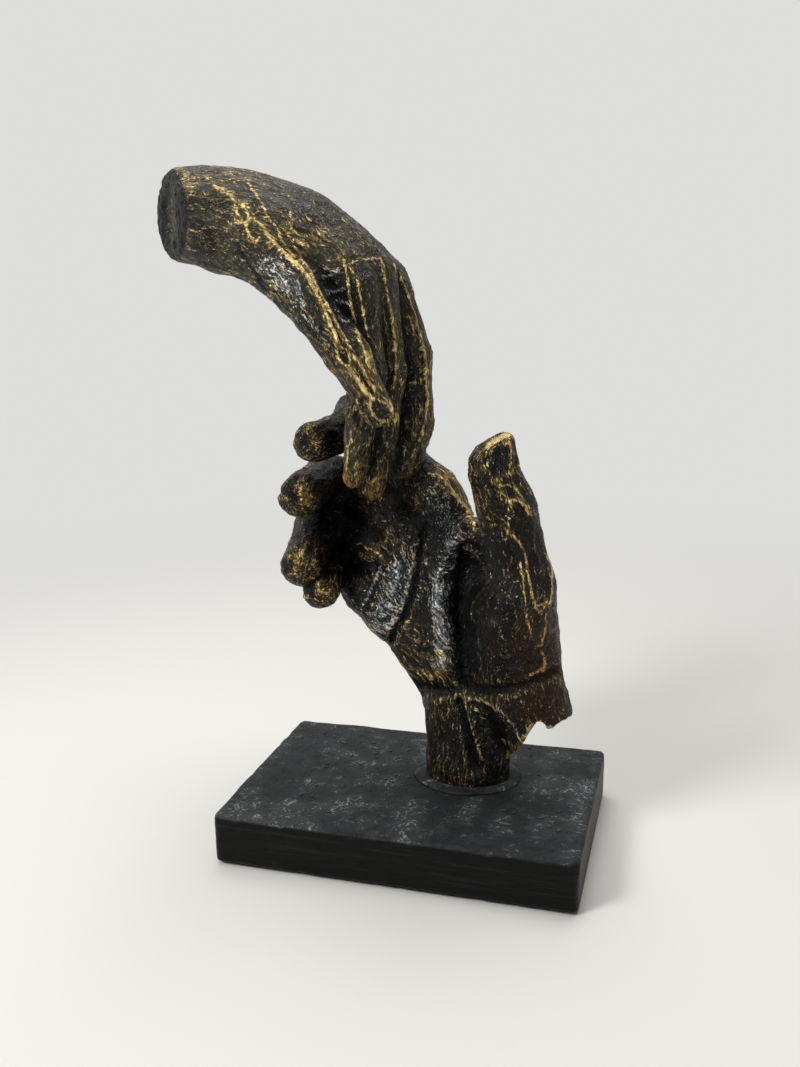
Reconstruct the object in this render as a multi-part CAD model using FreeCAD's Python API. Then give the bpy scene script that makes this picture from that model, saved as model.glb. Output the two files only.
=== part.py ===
import FreeCAD
import Part
import math
import os

from FreeCAD import Vector

# Two clasped hands on a plinth, an ornament about 28 cm tall.
# The lower hand is a right hand that rises from the plinth with its palm to the front.
# The upper hand is a left hand that hangs into its grip, and ends at a cut wrist.
# Millimetres. X runs along the plinth, Y to the back, Z up. The origin is the middle of the underside.

# Plinth and the felt under it
plinth_length = 150.0
plinth_depth = 100.0
plinth_height = 21.0
plinth_corner_radius = 3.0
plinth_edge_radius = 1.2
felt_thickness = 1.0
felt_inset = 2.5

# Wrist foot, the oval end of the lower hand, let into a shallow socket in the plinth
foot_x = 19.0
foot_y = 11.5
foot_half_width = 18.5
foot_half_depth = 14.5
socket_depth = 4.0
bead_width = 3.4
bead_lip = 0.8
bead_height = 2.4
bead_shoulder_share = 0.6

# Steel fixing: a stud set in the wrist, with its washer and nut in a recess under the plinth
stud_radius = 3.0
stud_length_in_wrist = 46.0
washer_radius = 9.0
washer_thickness = 1.6
nut_across_flats = 10.0
nut_height = 5.0
stud_past_nut = 1.5
stud_chamfer = 0.6
recess_radius = 11.5
recess_spare_depth = 1.0
hole_clearance = 0.3

# Steel dowel inside the clasp, from the upper ring finger down into the lower hand's knuckles
dowel_radius = 1.5
dowel_length = 30.0
dowel_middle_share = Vector(-0.237, 0.062, 1.335)
dowel_run_share = Vector(-0.155, -0.155, 1.0)

# Length of each hand's palm. Every place along a hand is a share of it.
lower_palm_length = 100.0
upper_palm_length = 100.0

# Half sizes of the limbs as shares of the palm's length, each multiplied by the shares of its stations
lower_finger_half_width_share = 0.084
lower_finger_half_height_share = 0.082
lower_thumb_half_width_share = 0.105
lower_thumb_half_depth_share = 0.100
lower_web_half_width_share = 0.070
lower_web_half_height_share = 0.060
lower_palm_half_breadth_share = 0.250
lower_palm_half_thickness_share = 0.145
upper_finger_half_depth_share = 0.084
upper_finger_half_width_share = 0.082
upper_thumb_half_depth_share = 0.088
upper_thumb_half_width_share = 0.096
upper_palm_half_breadth_share = 0.270
upper_palm_half_thickness_share = 0.170

# Shallow dish in the cut end of the upper wrist
dish_radius = 13.0
dish_depth = 2.5

# How a limb is drawn between its joints, and how its tip closes
oval_sides = 16
rings_between_palm_stations = 2
sewing_tolerance = 0.001
waist_place_shares = (0.3, 0.7)
waist_size_share = 0.94
least_waist_span_share = 2.2
nose_advance_shares = (0.42, 0.74, 0.93)
nose_size_shares = (0.90, 0.66, 0.34)

# Where the upper hand hangs, from the middle of the wrist foot
clasp_share = Vector(-0.36, -0.115, 1.30)

# Stations of each limb: x, y and z from the hand's anchor, then the two half sizes of its oval
lower_index_shares = (
    (0.03, 0.045, 0.40, 1.30, 1.20), (0.005, 0.095, 0.77, 1.55, 1.45), (-0.165, 0.065, 1.24, 1.30, 1.30),
    (-0.47, 0.30, 1.45, 1.30, 1.25), (-0.515, 0.21, 1.575, 1.12, 1.08), (-0.545, 0.0, 1.50, 0.98, 0.98),
    (-0.60, -0.15, 1.485, 1.0, 1.0))
lower_middle_shares = (
    (0.02, 0.045, 0.40, 1.30, 1.20), (-0.07, 0.085, 0.73, 1.60, 1.45), (-0.275, 0.085, 1.11, 1.48, 1.45),
    (-0.55, 0.30, 1.215, 1.42, 1.38), (-0.685, 0.20, 1.275, 1.24, 1.20), (-0.665, -0.16, 1.262, 1.13, 1.10))
lower_ring_shares = (
    (0.00, 0.035, 0.40, 1.30, 1.20), (-0.13, 0.065, 0.67, 1.60, 1.45), (-0.38, 0.085, 0.96, 1.35, 1.35),
    (-0.60, 0.25, 1.035, 1.35, 1.30), (-0.715, 0.145, 1.055, 1.30, 1.25), (-0.67, -0.165, 0.965, 1.10, 1.10))
lower_little_shares = (
    (-0.03, 0.02, 0.42, 1.30, 1.20), (-0.19, 0.025, 0.62, 1.50, 1.40), (-0.46, 0.065, 0.79, 1.25, 1.25),
    (-0.57, 0.17, 0.865, 1.20, 1.15), (-0.64, 0.085, 0.885, 1.08, 1.05), (-0.595, -0.15, 0.85, 0.92, 0.90))
lower_thumb_shares = (
    (0.17, -0.01, 0.40, 1.40, 1.20), (0.215, -0.055, 0.66, 1.72, 1.50), (0.265, -0.165, 0.92, 1.30, 1.28),
    (0.22, -0.21, 1.24, 1.06, 1.02), (0.166, -0.235, 1.39, 0.97, 0.90), (0.165, -0.235, 1.50, 0.82, 0.80))
lower_web_shares = (
    (-0.07, 0.06, 1.08, 1.0, 1.0), (0.04, -0.06, 1.10, 0.9, 0.95), (0.14, -0.19, 1.09, 0.9, 0.95))
lower_palm_shares = (
    (0.02, 0.01, 0.20, 0.78, 1.02), (0.03, 0.02, 0.38, 0.90, 1.06), (-0.02, 0.035, 0.53, 1.00, 1.12),
    (-0.12, 0.055, 0.68, 1.02, 1.06), (-0.22, 0.075, 0.86, 1.00, 0.90), (-0.27, 0.09, 1.03, 0.86, 0.66),
    (-0.28, 0.13, 1.17, 0.66, 0.50))
cuff_shares = (
    (0.19, -0.05, 0.78, 1.50, 1.35), (0.24, -0.06, 0.56, 1.55, 1.42), (0.31, -0.07, 0.34, 1.42, 1.30),
    (0.38, -0.08, 0.12, 1.30, 1.20))

upper_index_shares = (
    (-0.42, -0.02, 1.00, 1.30, 1.50), (-0.23, -0.07, 0.965, 1.36, 1.56), (-0.03, -0.11, 0.78, 1.14, 1.16),
    (0.025, -0.12, 0.475, 0.94, 0.94), (-0.015, -0.12, 0.24, 0.74, 0.72),
    (-0.045, -0.115, 0.06, 0.56, 0.52))
upper_middle_shares = (
    (-0.46, 0.06, 1.03, 1.30, 1.60), (-0.28, 0.03, 1.03, 1.40, 1.60), (0.01, 0.03, 0.825, 1.13, 1.15),
    (0.06, 0.03, 0.475, 0.97, 0.99), (0.04, 0.01, 0.225, 0.78, 0.80), (0.0, -0.01, -0.01, 0.56, 0.54))
upper_ring_shares = (
    (-0.50, 0.13, 1.03, 1.30, 1.55), (-0.35, 0.14, 1.045, 1.40, 1.55), (0.03, 0.17, 0.81, 1.10, 1.12),
    (0.125, 0.17, 0.52, 1.00, 1.04), (0.135, 0.16, 0.24, 0.92, 0.98), (0.105, 0.14, 0.08, 0.80, 0.84))
upper_little_shares = (
    (-0.56, 0.18, 1.03, 1.20, 1.35), (-0.43, 0.23, 1.04, 1.30, 1.40), (-0.02, 0.29, 0.755, 1.00, 1.04),
    (0.06, 0.285, 0.50, 0.90, 0.92), (0.06, 0.265, 0.28, 0.83, 0.85), (0.035, 0.245, 0.13, 0.65, 0.66))
upper_thumb_shares = (
    (-0.86, 0.01, 1.08, 0.80, 0.80), (-0.60, -0.02, 1.005, 1.20, 1.36), (-0.40, -0.11, 0.94, 1.30, 1.26),
    (-0.17, -0.22, 0.765, 1.18, 1.04), (0.0, -0.27, 0.55, 0.95, 0.88), (0.115, -0.27, 0.345, 0.70, 0.60))
upper_palm_shares = (
    (-1.06, 0.06, 1.10, 0.68, 0.88), (-0.95, 0.06, 1.107, 0.74, 0.97), (-0.82, 0.06, 1.105, 0.80, 1.08),
    (-0.62, 0.06, 1.083, 0.86, 1.16), (-0.42, 0.065, 1.035, 0.96, 1.13), (-0.22, 0.08, 0.95, 1.04, 0.98),
    (-0.05, 0.09, 0.82, 1.00, 0.70), (0.0, 0.09, 0.66, 0.80, 0.40))

# Planes that the hands are cut off along: a place and the way out of the hand
# The cuff's hem is level under the thumb and falls away towards the wrist.
stump_place_share = Vector(-0.925, 0.06, 1.09)
stump_way = Vector(-0.84, -0.54, 0.02)
thumb_tip_place_share = Vector(0.149, -0.235, 1.512)
thumb_tip_way = Vector(-0.42, -0.22, 0.87)
hem_place_share = Vector(0.31, 0.0, 0.328)
hem_way = Vector(0.0, 0.0, -1.0)
hem_fall_way = Vector(0.87, 0.0, -0.49)

# Directions across the limbs, which keep their ovals upright
lower_finger_across = Vector(0.61, -0.10, 0.78)
lower_thumb_across = Vector(1.0, 0.15, 0.0)
lower_web_across = Vector(0.6, 0.2, 0.0)
lower_palm_across = Vector(0.9, 0.0, 0.42)
upper_across = Vector(0.0, 1.0, 0.0)

# Heights and places that follow from the sizes above
plinth_top = felt_thickness + plinth_height
foot_middle = Vector(foot_x, foot_y, plinth_top)
clasp = foot_middle + clasp_share * lower_palm_length
recess_depth = washer_thickness + nut_height + stud_past_nut + recess_spare_depth
seat_height = felt_thickness + recess_depth
nut_bottom = seat_height - washer_thickness - nut_height


def oval(middle, way, across, half_width, half_height):
    """The corners of an oval, square to the limb."""
    way = Vector(way).normalize()
    side = (across - way * across.dot(way)).normalize()
    up = way.cross(side)
    corners = []
    for step in range(oval_sides):
        turn = 2.0 * math.pi * step / oval_sides
        corners.append(middle + side * (half_width * math.cos(turn)) + up * (half_height * math.sin(turn)))
    return corners


def skinned(ovals):
    """A solid through the ovals, in flat facets as on hand-modelled clay, closed at both ends."""
    corners = [corner for ring in ovals for corner in ring]
    facets = []
    for ring in range(len(ovals) - 1):
        for step in range(oval_sides):
            after = (step + 1) % oval_sides
            low, low_after = ring * oval_sides + step, ring * oval_sides + after
            high, high_after = low + oval_sides, low_after + oval_sides
            if (corners[low] - corners[high_after]).Length < (corners[low_after] - corners[high]).Length:
                facets += [(low, low_after, high_after), (low, high_after, high)]
            else:
                facets += [(low, low_after, high), (low_after, high_after, high)]
    for ring, order in ((0, -1), (len(ovals) - 1, 1)):
        first = ring * oval_sides
        for step in range(1, oval_sides - 1):
            facets.append((first, first + step, first + step + 1)[::order])
    skin = Part.Shape()
    skin.makeShapeFromMesh((corners, facets), sewing_tolerance)
    solid = Part.Solid(Part.Shell(skin.Faces))
    if solid.Volume < 0:
        solid.reverse()
    return solid.removeSplitter()


def ways_along(places):
    """The way a limb runs at each place, halved between the two bones that meet there."""
    bones = [(after - before).normalize() for before, after in zip(places[:-1], places[1:])]
    joints = [(before + after).normalize() for before, after in zip(bones[:-1], bones[1:])]
    return [bones[0]] + joints + [bones[-1]]


def eased(stations, extra):
    """The stations with extra ones between them, on a smooth run through the given ones."""
    ends = [stations[0]] + list(stations) + [stations[-1]]
    smooth = []
    for before, start, stop, after in zip(ends, ends[1:], ends[2:], ends[3:]):
        for step in range(extra + 1):
            t = step / (extra + 1)
            smooth.append(tuple(
                start[n] + 0.5 * t * (stop[n] - before[n] + t * (
                    2 * before[n] - 5 * start[n] + 4 * stop[n] - after[n]
                    + t * (3 * (start[n] - stop[n]) + after[n] - before[n])))
                for n in range(len(start))))
    return smooth + [stations[-1]]


def limb(anchor, scale, stations, half_width_share, half_height_share, across, tip=True):
    """A solid through an oval at each station, waisted on its long bones and rounded at its tip."""
    if not tip:
        stations = eased(stations, rings_between_palm_stations)
    places = [anchor + Vector(*station[:3]) * scale for station in stations]
    widths = [station[3] * half_width_share * scale for station in stations]
    heights = [station[4] * half_height_share * scale for station in stations]
    ways = ways_along(places)
    ovals = []
    for here in range(len(places)):
        ovals.append(oval(places[here], ways[here], across, widths[here], heights[here]))
        if here + 1 == len(places):
            break
        bone = places[here + 1] - places[here]
        if tip and bone.Length > least_waist_span_share * max(widths[here], heights[here]):
            for share in waist_place_shares:
                width = (widths[here] + (widths[here + 1] - widths[here]) * share) * waist_size_share
                height = (heights[here] + (heights[here + 1] - heights[here]) * share) * waist_size_share
                ovals.append(oval(places[here] + bone * share, bone, across, width, height))
    if tip:
        for advance, size in zip(nose_advance_shares, nose_size_shares):
            middle = places[-1] + ways[-1] * (max(widths[-1], heights[-1]) * advance)
            ovals.append(oval(middle, ways[-1], across, widths[-1] * size, heights[-1] * size))
    return skinned(ovals)


def beyond(place, way, reach):
    """A block that fills everything past a plane, out to the reach."""
    block = Part.makeBox(2 * reach, 2 * reach, reach, Vector(-reach, -reach, 0))
    turn = FreeCAD.Rotation(Vector(0, 0, 1), way)
    block.Placement = FreeCAD.Placement(place, turn)
    return block


def joined(solids):
    """The solids fused one after another into one."""
    total = solids[0]
    for solid in solids[1:]:
        total = total.fuse(solid)
    return total.removeSplitter()


def lower_wrist():
    """The lower hand's wrist, from its foot in the socket up to the heel of the palm."""
    foot = Vector(foot_middle.x, foot_middle.y, plinth_top - socket_depth)
    palm_start = foot_middle + Vector(*lower_palm_shares[1][:3]) * lower_palm_length
    ovals = [oval(foot, Vector(0, 0, 1), lower_palm_across, foot_half_width, foot_half_depth)]
    ovals.append(oval(foot_middle, Vector(0, 0, 1), lower_palm_across, foot_half_width, foot_half_depth))
    ovals.append(oval(palm_start, Vector(0, 0, 1), lower_palm_across,
                      lower_palm_length * lower_palm_half_breadth_share * lower_palm_shares[1][3],
                      lower_palm_length * lower_palm_half_thickness_share * lower_palm_shares[1][4]))
    return skinned(ovals)


def cuff():
    """The flared cuff at the thumb side of the wrist, cut off below its hem and beyond where that falls."""
    body = limb(foot_middle, lower_palm_length, cuff_shares, lower_thumb_half_width_share,
                lower_thumb_half_depth_share, lower_thumb_across, tip=False)
    place = foot_middle + hem_place_share * lower_palm_length
    below = beyond(place, hem_way, lower_palm_length)
    return body.cut(below.common(beyond(place, hem_fall_way, lower_palm_length)))


def lower_thumb():
    """The lower hand's thumb, its tip sliced off at a slant."""
    body = limb(foot_middle, lower_palm_length, lower_thumb_shares, lower_thumb_half_width_share,
                lower_thumb_half_depth_share, lower_thumb_across)
    place = foot_middle + thumb_tip_place_share * lower_palm_length
    return body.cut(beyond(place, thumb_tip_way, lower_palm_length))


def lower_hand():
    pieces = [lower_wrist(), cuff(), lower_thumb()]
    pieces.append(limb(foot_middle, lower_palm_length, lower_web_shares, lower_web_half_width_share,
                       lower_web_half_height_share, lower_web_across))
    pieces.append(limb(foot_middle, lower_palm_length, lower_palm_shares, lower_palm_half_breadth_share,
                       lower_palm_half_thickness_share, lower_palm_across, tip=False))
    for stations in (lower_index_shares, lower_middle_shares, lower_ring_shares, lower_little_shares):
        pieces.append(limb(foot_middle, lower_palm_length, stations, lower_finger_half_width_share,
                           lower_finger_half_height_share, lower_finger_across))
    return joined(pieces)


def upper_hand():
    pieces = [limb(clasp, upper_palm_length, upper_palm_shares, upper_palm_half_breadth_share,
                   upper_palm_half_thickness_share, upper_across, tip=False)]
    for stations in (upper_index_shares, upper_middle_shares, upper_ring_shares, upper_little_shares):
        pieces.append(limb(clasp, upper_palm_length, stations, upper_finger_half_depth_share,
                           upper_finger_half_width_share, upper_across))
    pieces.append(limb(clasp, upper_palm_length, upper_thumb_shares, upper_thumb_half_depth_share,
                       upper_thumb_half_width_share, upper_across))
    place = clasp + stump_place_share * upper_palm_length
    ball_radius = (dish_radius ** 2 + dish_depth ** 2) / (2 * dish_depth)
    ball_middle = place + Vector(stump_way).normalize() * (ball_radius - dish_depth)
    hand = joined(pieces).cut(beyond(place, stump_way, upper_palm_length))
    return hand.cut(Part.makeSphere(ball_radius, ball_middle))


def stud():
    bottom = nut_bottom - stud_past_nut
    top = plinth_top + stud_length_in_wrist
    rod = Part.makeCylinder(stud_radius, top - bottom, Vector(foot_x, foot_y, bottom))
    ends = [edge for edge in rod.Edges if isinstance(edge.Curve, Part.Circle)]
    return rod.makeChamfer(stud_chamfer, ends)


def washer():
    place = Vector(foot_x, foot_y, seat_height - washer_thickness)
    disc = Part.makeCylinder(washer_radius, washer_thickness, place)
    return disc.cut(Part.makeCylinder(stud_radius + hole_clearance, washer_thickness, place))


def nut():
    place = Vector(foot_x, foot_y, nut_bottom)
    corner_radius = nut_across_flats / 2 / math.cos(math.pi / 6)
    corners = [place + Vector(math.cos(turn), math.sin(turn), 0) * corner_radius
               for turn in [math.pi / 3 * corner for corner in range(7)]]
    block = Part.Face(Part.makePolygon(corners)).extrude(Vector(0, 0, nut_height))
    return block.cut(Part.makeCylinder(stud_radius, nut_height, place))


def dowel():
    middle = foot_middle + dowel_middle_share * lower_palm_length
    way = Vector(dowel_run_share).normalize()
    return Part.makeCylinder(dowel_radius, dowel_length, middle - way * (dowel_length / 2), way)


def plinth_block():
    corner = Vector(-plinth_length / 2, -plinth_depth / 2, felt_thickness)
    block = Part.makeBox(plinth_length, plinth_depth, plinth_height, corner)
    upright = [edge for edge in block.Edges if abs(edge.tangentAt(edge.FirstParameter).z) > 0.5]
    block = block.makeFillet(plinth_corner_radius, upright)
    rims = [edge for face in block.Faces if abs(face.normalAt(0, 0).z) > 0.5 for edge in face.Edges]
    return block.makeFillet(plinth_edge_radius, rims)


def plinth(hand):
    """The block with its socket, its clearance hole for the stud and the recess underneath."""
    hole = Part.makeCylinder(stud_radius + hole_clearance, plinth_height,
                             Vector(foot_x, foot_y, felt_thickness))
    recess = Part.makeCylinder(recess_radius, recess_depth, Vector(foot_x, foot_y, felt_thickness))
    return plinth_block().cut(hand).cut(hole).cut(recess)


def foot_bead(hand):
    """The bead of filler round the foot of the wrist."""
    ovals = [
        oval(foot_middle, Vector(0, 0, 1), lower_palm_across, foot_half_width + bead_width,
             foot_half_depth + bead_width),
        oval(foot_middle + Vector(0, 0, bead_height * bead_shoulder_share), Vector(0, 0, 1),
             lower_palm_across,
             foot_half_width + (bead_width + bead_lip) / 2,
             foot_half_depth + (bead_width + bead_lip) / 2),
        oval(foot_middle + Vector(0, 0, bead_height), Vector(0, 0, 1), lower_palm_across,
             foot_half_width + bead_lip, foot_half_depth + bead_lip)]
    return skinned(ovals).cut(hand)


def base_felt():
    length = plinth_length - 2 * felt_inset
    depth = plinth_depth - 2 * felt_inset
    sheet = Part.makeBox(length, depth, felt_thickness, Vector(-length / 2, -depth / 2, 0))
    upright = [edge for edge in sheet.Edges if abs(edge.tangentAt(edge.FirstParameter).z) > 0.5]
    return sheet.makeFillet(plinth_corner_radius, upright)


def one_solid(name, shape):
    """The shape as a single solid, or an error that says which node broke."""
    if not shape.isValid() or len(shape.Solids) != 1:
        raise RuntimeError("%s has %d solids, valid %s" % (name, len(shape.Solids), shape.isValid()))
    return shape.Solids[0]


os.makedirs("parts", exist_ok=True)
upper = upper_hand()
whole_lower = lower_hand()
nodes = {
    "fixing_stud": stud(),
    "fixing_washer": washer(),
    "fixing_nut": nut(),
    "clasp_dowel": dowel(),
    "plinth": plinth(whole_lower),
    "foot_bead": foot_bead(whole_lower),
    "base_felt": base_felt(),
}
nodes["upper_hand"] = upper.cut(nodes["clasp_dowel"])
nodes["lower_hand"] = whole_lower.cut(upper).cut(nodes["clasp_dowel"]).cut(nodes["fixing_stud"])
for name in nodes:
    solid = one_solid(name, nodes[name])
    solid.exportStep("parts/%s.step" % name)
    print(name, "faces", len(solid.Faces), "volume %.0f mm3" % solid.Volume, solid.BoundBox)
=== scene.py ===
import math
import bpy
import numpy as np
from mathutils import Matrix, Vector


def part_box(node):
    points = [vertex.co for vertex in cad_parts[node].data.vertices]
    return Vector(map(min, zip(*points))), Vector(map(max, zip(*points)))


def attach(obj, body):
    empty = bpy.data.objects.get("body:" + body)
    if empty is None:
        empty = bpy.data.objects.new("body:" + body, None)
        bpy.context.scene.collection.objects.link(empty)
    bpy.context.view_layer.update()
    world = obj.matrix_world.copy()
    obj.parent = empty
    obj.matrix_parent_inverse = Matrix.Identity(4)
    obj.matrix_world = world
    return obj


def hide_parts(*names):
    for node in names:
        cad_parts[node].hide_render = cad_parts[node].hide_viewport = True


# Two clasped hands on a plinth: fired ceramic under a near-black patina, dry-brushed with gold.
# The lower hand rises from the plinth, the upper one hangs into its grip and ends at a cut wrist.
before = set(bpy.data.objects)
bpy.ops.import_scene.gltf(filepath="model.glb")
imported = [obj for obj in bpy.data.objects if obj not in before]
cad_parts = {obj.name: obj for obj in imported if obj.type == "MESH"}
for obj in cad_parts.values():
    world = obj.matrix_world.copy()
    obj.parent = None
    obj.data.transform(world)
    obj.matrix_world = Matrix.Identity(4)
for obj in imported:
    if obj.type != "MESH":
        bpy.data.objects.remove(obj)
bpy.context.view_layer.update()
mm = 0.001
cubeCorners = [((n >> 2) & 1, (n >> 1) & 1, n & 1) for n in range(8)]
# over what distance shapes melt together, or an edge is rounded
melts = {"bones": 1.5 * mm, "hem": 1.5 * mm, "hemBend": 2.0 * mm, "slice": 2.0 * mm, "palms": 3.0 * mm,
         "bite": 1.0 * mm}
print("frame loaded")

# Camera, fitted to the plinth's top corners in the photograph of 800 x 1067 pixels
view = {
    "place": np.array((111.3, -390.9, 230.1)) * mm,
    "yaw": -16.72, "pitch": 13.42, "roll": -1.36,      # degrees
    "focal": 1017.3, "width": 800, "height": 1067,     # pixels
    "sensor": 36.0,                                    # mm, along the taller side
}


# the camera's right, up and forward ways
def viewAxes():
    yaw, pitch, roll = (math.radians(view[key]) for key in ("yaw", "pitch", "roll"))
    ahead = np.array((math.sin(yaw) * math.cos(pitch), math.cos(yaw) * math.cos(pitch), -math.sin(pitch)))
    level = np.array((math.cos(yaw), -math.sin(yaw), 0.0))
    above = np.cross(level, ahead)
    right = math.cos(roll) * level + math.sin(roll) * above
    up = math.cos(roll) * above - math.sin(roll) * level
    return right, up, ahead


# where a point falls in the photograph, in its pixels, and how far it is from the camera
def toPhoto(points):
    right, up, ahead = viewAxes()
    away = points - view["place"]
    depth = away @ ahead
    x = view["width"] / 2 + view["focal"] * (away @ right) / depth
    y = view["height"] / 2 - view["focal"] * (away @ up) / depth
    return x, y, depth


def unit(vector):
    return np.array(vector, float) / np.linalg.norm(vector)


# the lesser of two distances, with the two shapes melted together where they are closer than that
def smoothLeast(first, second, melt):
    overlap = np.maximum(melt - np.abs(first - second), 0.0) / melt
    return np.minimum(first, second) - overlap * overlap * melt * 0.25


# eases from 0 at the first end to 1 at the second
def ramp(value, low, high):
    share = np.clip((value - low) / (high - low), 0.0, 1.0)
    return share * share * (3.0 - 2.0 * share)


# Lower hand, a right hand. Stations along each limb: x, y and z from the foot, as shares of the palm's
# length, then the two half sizes of the limb there, as shares of its own half sizes.
footLow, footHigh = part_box("foot_bead")
foot = np.array(((footLow.x + footHigh.x) / 2, (footLow.y + footHigh.y) / 2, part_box("plinth")[1].z))
lowerFinger = {"half": (8.4 * mm, 8.2 * mm), "across": (0.61, -0.10, 0.78), "waist": 0.06, "back": (0.0, 1.0)}
lowerHand = {
    "anchor": foot,
    "palmLength": 100 * mm, "pitch": 0.83 * mm, "quickPitch": 1.3 * mm,
    "meltDigits": 1.3 * mm, "meltPalm": 6.0 * mm,
    "tendons": True,          # on its back, which the photograph's camera doesn't see
    # the second base sets how much silvery paint the whole hand takes, which stands for painted glints of
    # light
    "goldBase": -0.14, "silverGlintBase": -0.14,
    "limbs": {
        "palm": {
            "half": (25.0 * mm, 14.5 * mm), "across": (0.9, 0.0, 0.42), "eased": 2, "palm": True,
            "stations": (
                (0.02, 0.01, 0.20, 0.78, 1.02), (0.03, 0.02, 0.38, 0.90, 1.06),
                (-0.02, 0.035, 0.53, 1.00, 1.12), (-0.12, 0.055, 0.68, 1.02, 1.06),
                (-0.22, 0.075, 0.86, 1.00, 0.90), (-0.27, 0.09, 1.03, 0.86, 0.66),
                (-0.28, 0.13, 1.17, 0.66, 0.50))},
        "wrist": {
            "half": (18.5 * mm, 14.5 * mm), "across": (0.9, 0.0, 0.42), "palm": True,
            "stations": (
                (0.0, 0.0, -0.04, 1.0, 1.0), (0.0, 0.0, 0.10, 0.98, 1.0), (0.02, 0.01, 0.24, 1.05, 1.02),
                (0.03, 0.02, 0.38, 1.2, 1.06))},
        "cuff": {
            "half": (10.5 * mm, 10.0 * mm), "across": (1.0, 0.15, 0.0), "eased": 2, "palm": True, "hem": True,
            "stations": (
                (0.19, -0.05, 0.78, 1.50, 1.35), (0.24, -0.06, 0.56, 1.55, 1.42),
                (0.31, -0.07, 0.34, 1.42, 1.30), (0.38, -0.08, 0.12, 1.30, 1.20))},
        "index": dict(lowerFinger, nail=(0.25, 1.0), stations=(
            (0.03, 0.045, 0.40, 1.30, 1.20), (0.005, 0.095, 0.77, 1.55, 1.45),
            (-0.165, 0.065, 1.24, 1.30, 1.30), (-0.47, 0.30, 1.45, 1.30, 1.25),
            (-0.515, 0.21, 1.575, 1.12, 1.08), (-0.545, 0.0, 1.50, 0.98, 0.98),
            (-0.60, -0.15, 1.485, 1.0, 1.0))),
        "middle": dict(lowerFinger, nail=(0.25, 1.0), stations=(
            (0.02, 0.045, 0.40, 1.30, 1.20), (-0.07, 0.085, 0.73, 1.60, 1.45),
            (-0.275, 0.085, 1.11, 1.48, 1.45), (-0.55, 0.30, 1.215, 1.42, 1.38),
            (-0.685, 0.20, 1.275, 1.24, 1.20), (-0.665, -0.16, 1.262, 1.13, 1.10))),
        "ring": dict(lowerFinger, nail=(0.1, 1.0), stations=(
            (0.00, 0.035, 0.40, 1.30, 1.20), (-0.13, 0.065, 0.67, 1.60, 1.45),
            (-0.38, 0.085, 0.96, 1.35, 1.35), (-0.60, 0.25, 1.035, 1.35, 1.30),
            (-0.715, 0.145, 1.055, 1.30, 1.25), (-0.67, -0.165, 0.965, 1.10, 1.10))),
        "little": dict(lowerFinger, nail=(0.1, 1.0), stations=(
            (-0.03, 0.02, 0.42, 1.30, 1.20), (-0.19, 0.025, 0.62, 1.50, 1.40),
            (-0.46, 0.065, 0.79, 1.25, 1.25), (-0.57, 0.17, 0.865, 1.20, 1.15),
            (-0.64, 0.085, 0.885, 1.08, 1.05), (-0.595, -0.15, 0.85, 0.92, 0.90))),
        "thumb": {
            "half": (10.5 * mm, 10.0 * mm), "across": (1.0, 0.15, 0.0), "waist": 0.05,
            "nail": (0.45, -0.9), "back": (0.9, 0.4), "sliced": True,
            "stations": (
                (0.17, -0.01, 0.40, 1.40, 1.20), (0.215, -0.055, 0.66, 1.72, 1.50),
                (0.265, -0.165, 0.92, 1.30, 1.28), (0.22, -0.21, 1.24, 1.06, 1.02),
                (0.166, -0.235, 1.39, 0.97, 0.90), (0.165, -0.235, 1.50, 0.82, 0.80))},
        "web": {
            "half": (7.0 * mm, 6.0 * mm), "across": (0.6, 0.2, 0.0), "palm": True,
            "stations": (
                (-0.07, 0.06, 1.08, 1.0, 1.0), (0.04, -0.06, 1.10, 0.9, 0.95),
                (0.14, -0.19, 1.09, 0.9, 0.95))},
    },
    # the thumb's tip is sliced off; the cuff ends in a level hem that falls away towards the wrist
    "tipPlace": (0.149, -0.235, 1.512), "tipWay": (-0.42, -0.22, 0.87),
    "hemPlace": (0.31, 0.0, 0.328), "hemWay": (0.0, 0.0, -1.0), "hemFall": (0.87, 0.0, -0.49),
    # places bitten out under the hem, and their half sizes
    "bites": (((0.335, -0.20, 0.335), (3.6 * mm, 9.0 * mm, 3.4 * mm)),
              ((0.395, -0.08, 0.325), (7.0 * mm, 9.0 * mm, 5.0 * mm))),
    "hemWave": (0.4 * mm, 4.9 * mm, 6.1 * mm), "rootDepth": 4 * mm,
    # places rubbed brown, which are the thumb's root, the curled tips and the foot: how strongly, and the
    # spans of x, y or z (0, 1 or 2) that bound each of them
    "rubbed": ((1.0, ((0, 0.14, 0.30), (2, 1.0, 0.7), (2, 0.28, 0.42))),
               (0.3, ((1, 0.0, -0.15), (0, -0.45, -0.6))),
               (0.45, ((2, 0.34, 0.20),))),
}

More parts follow.
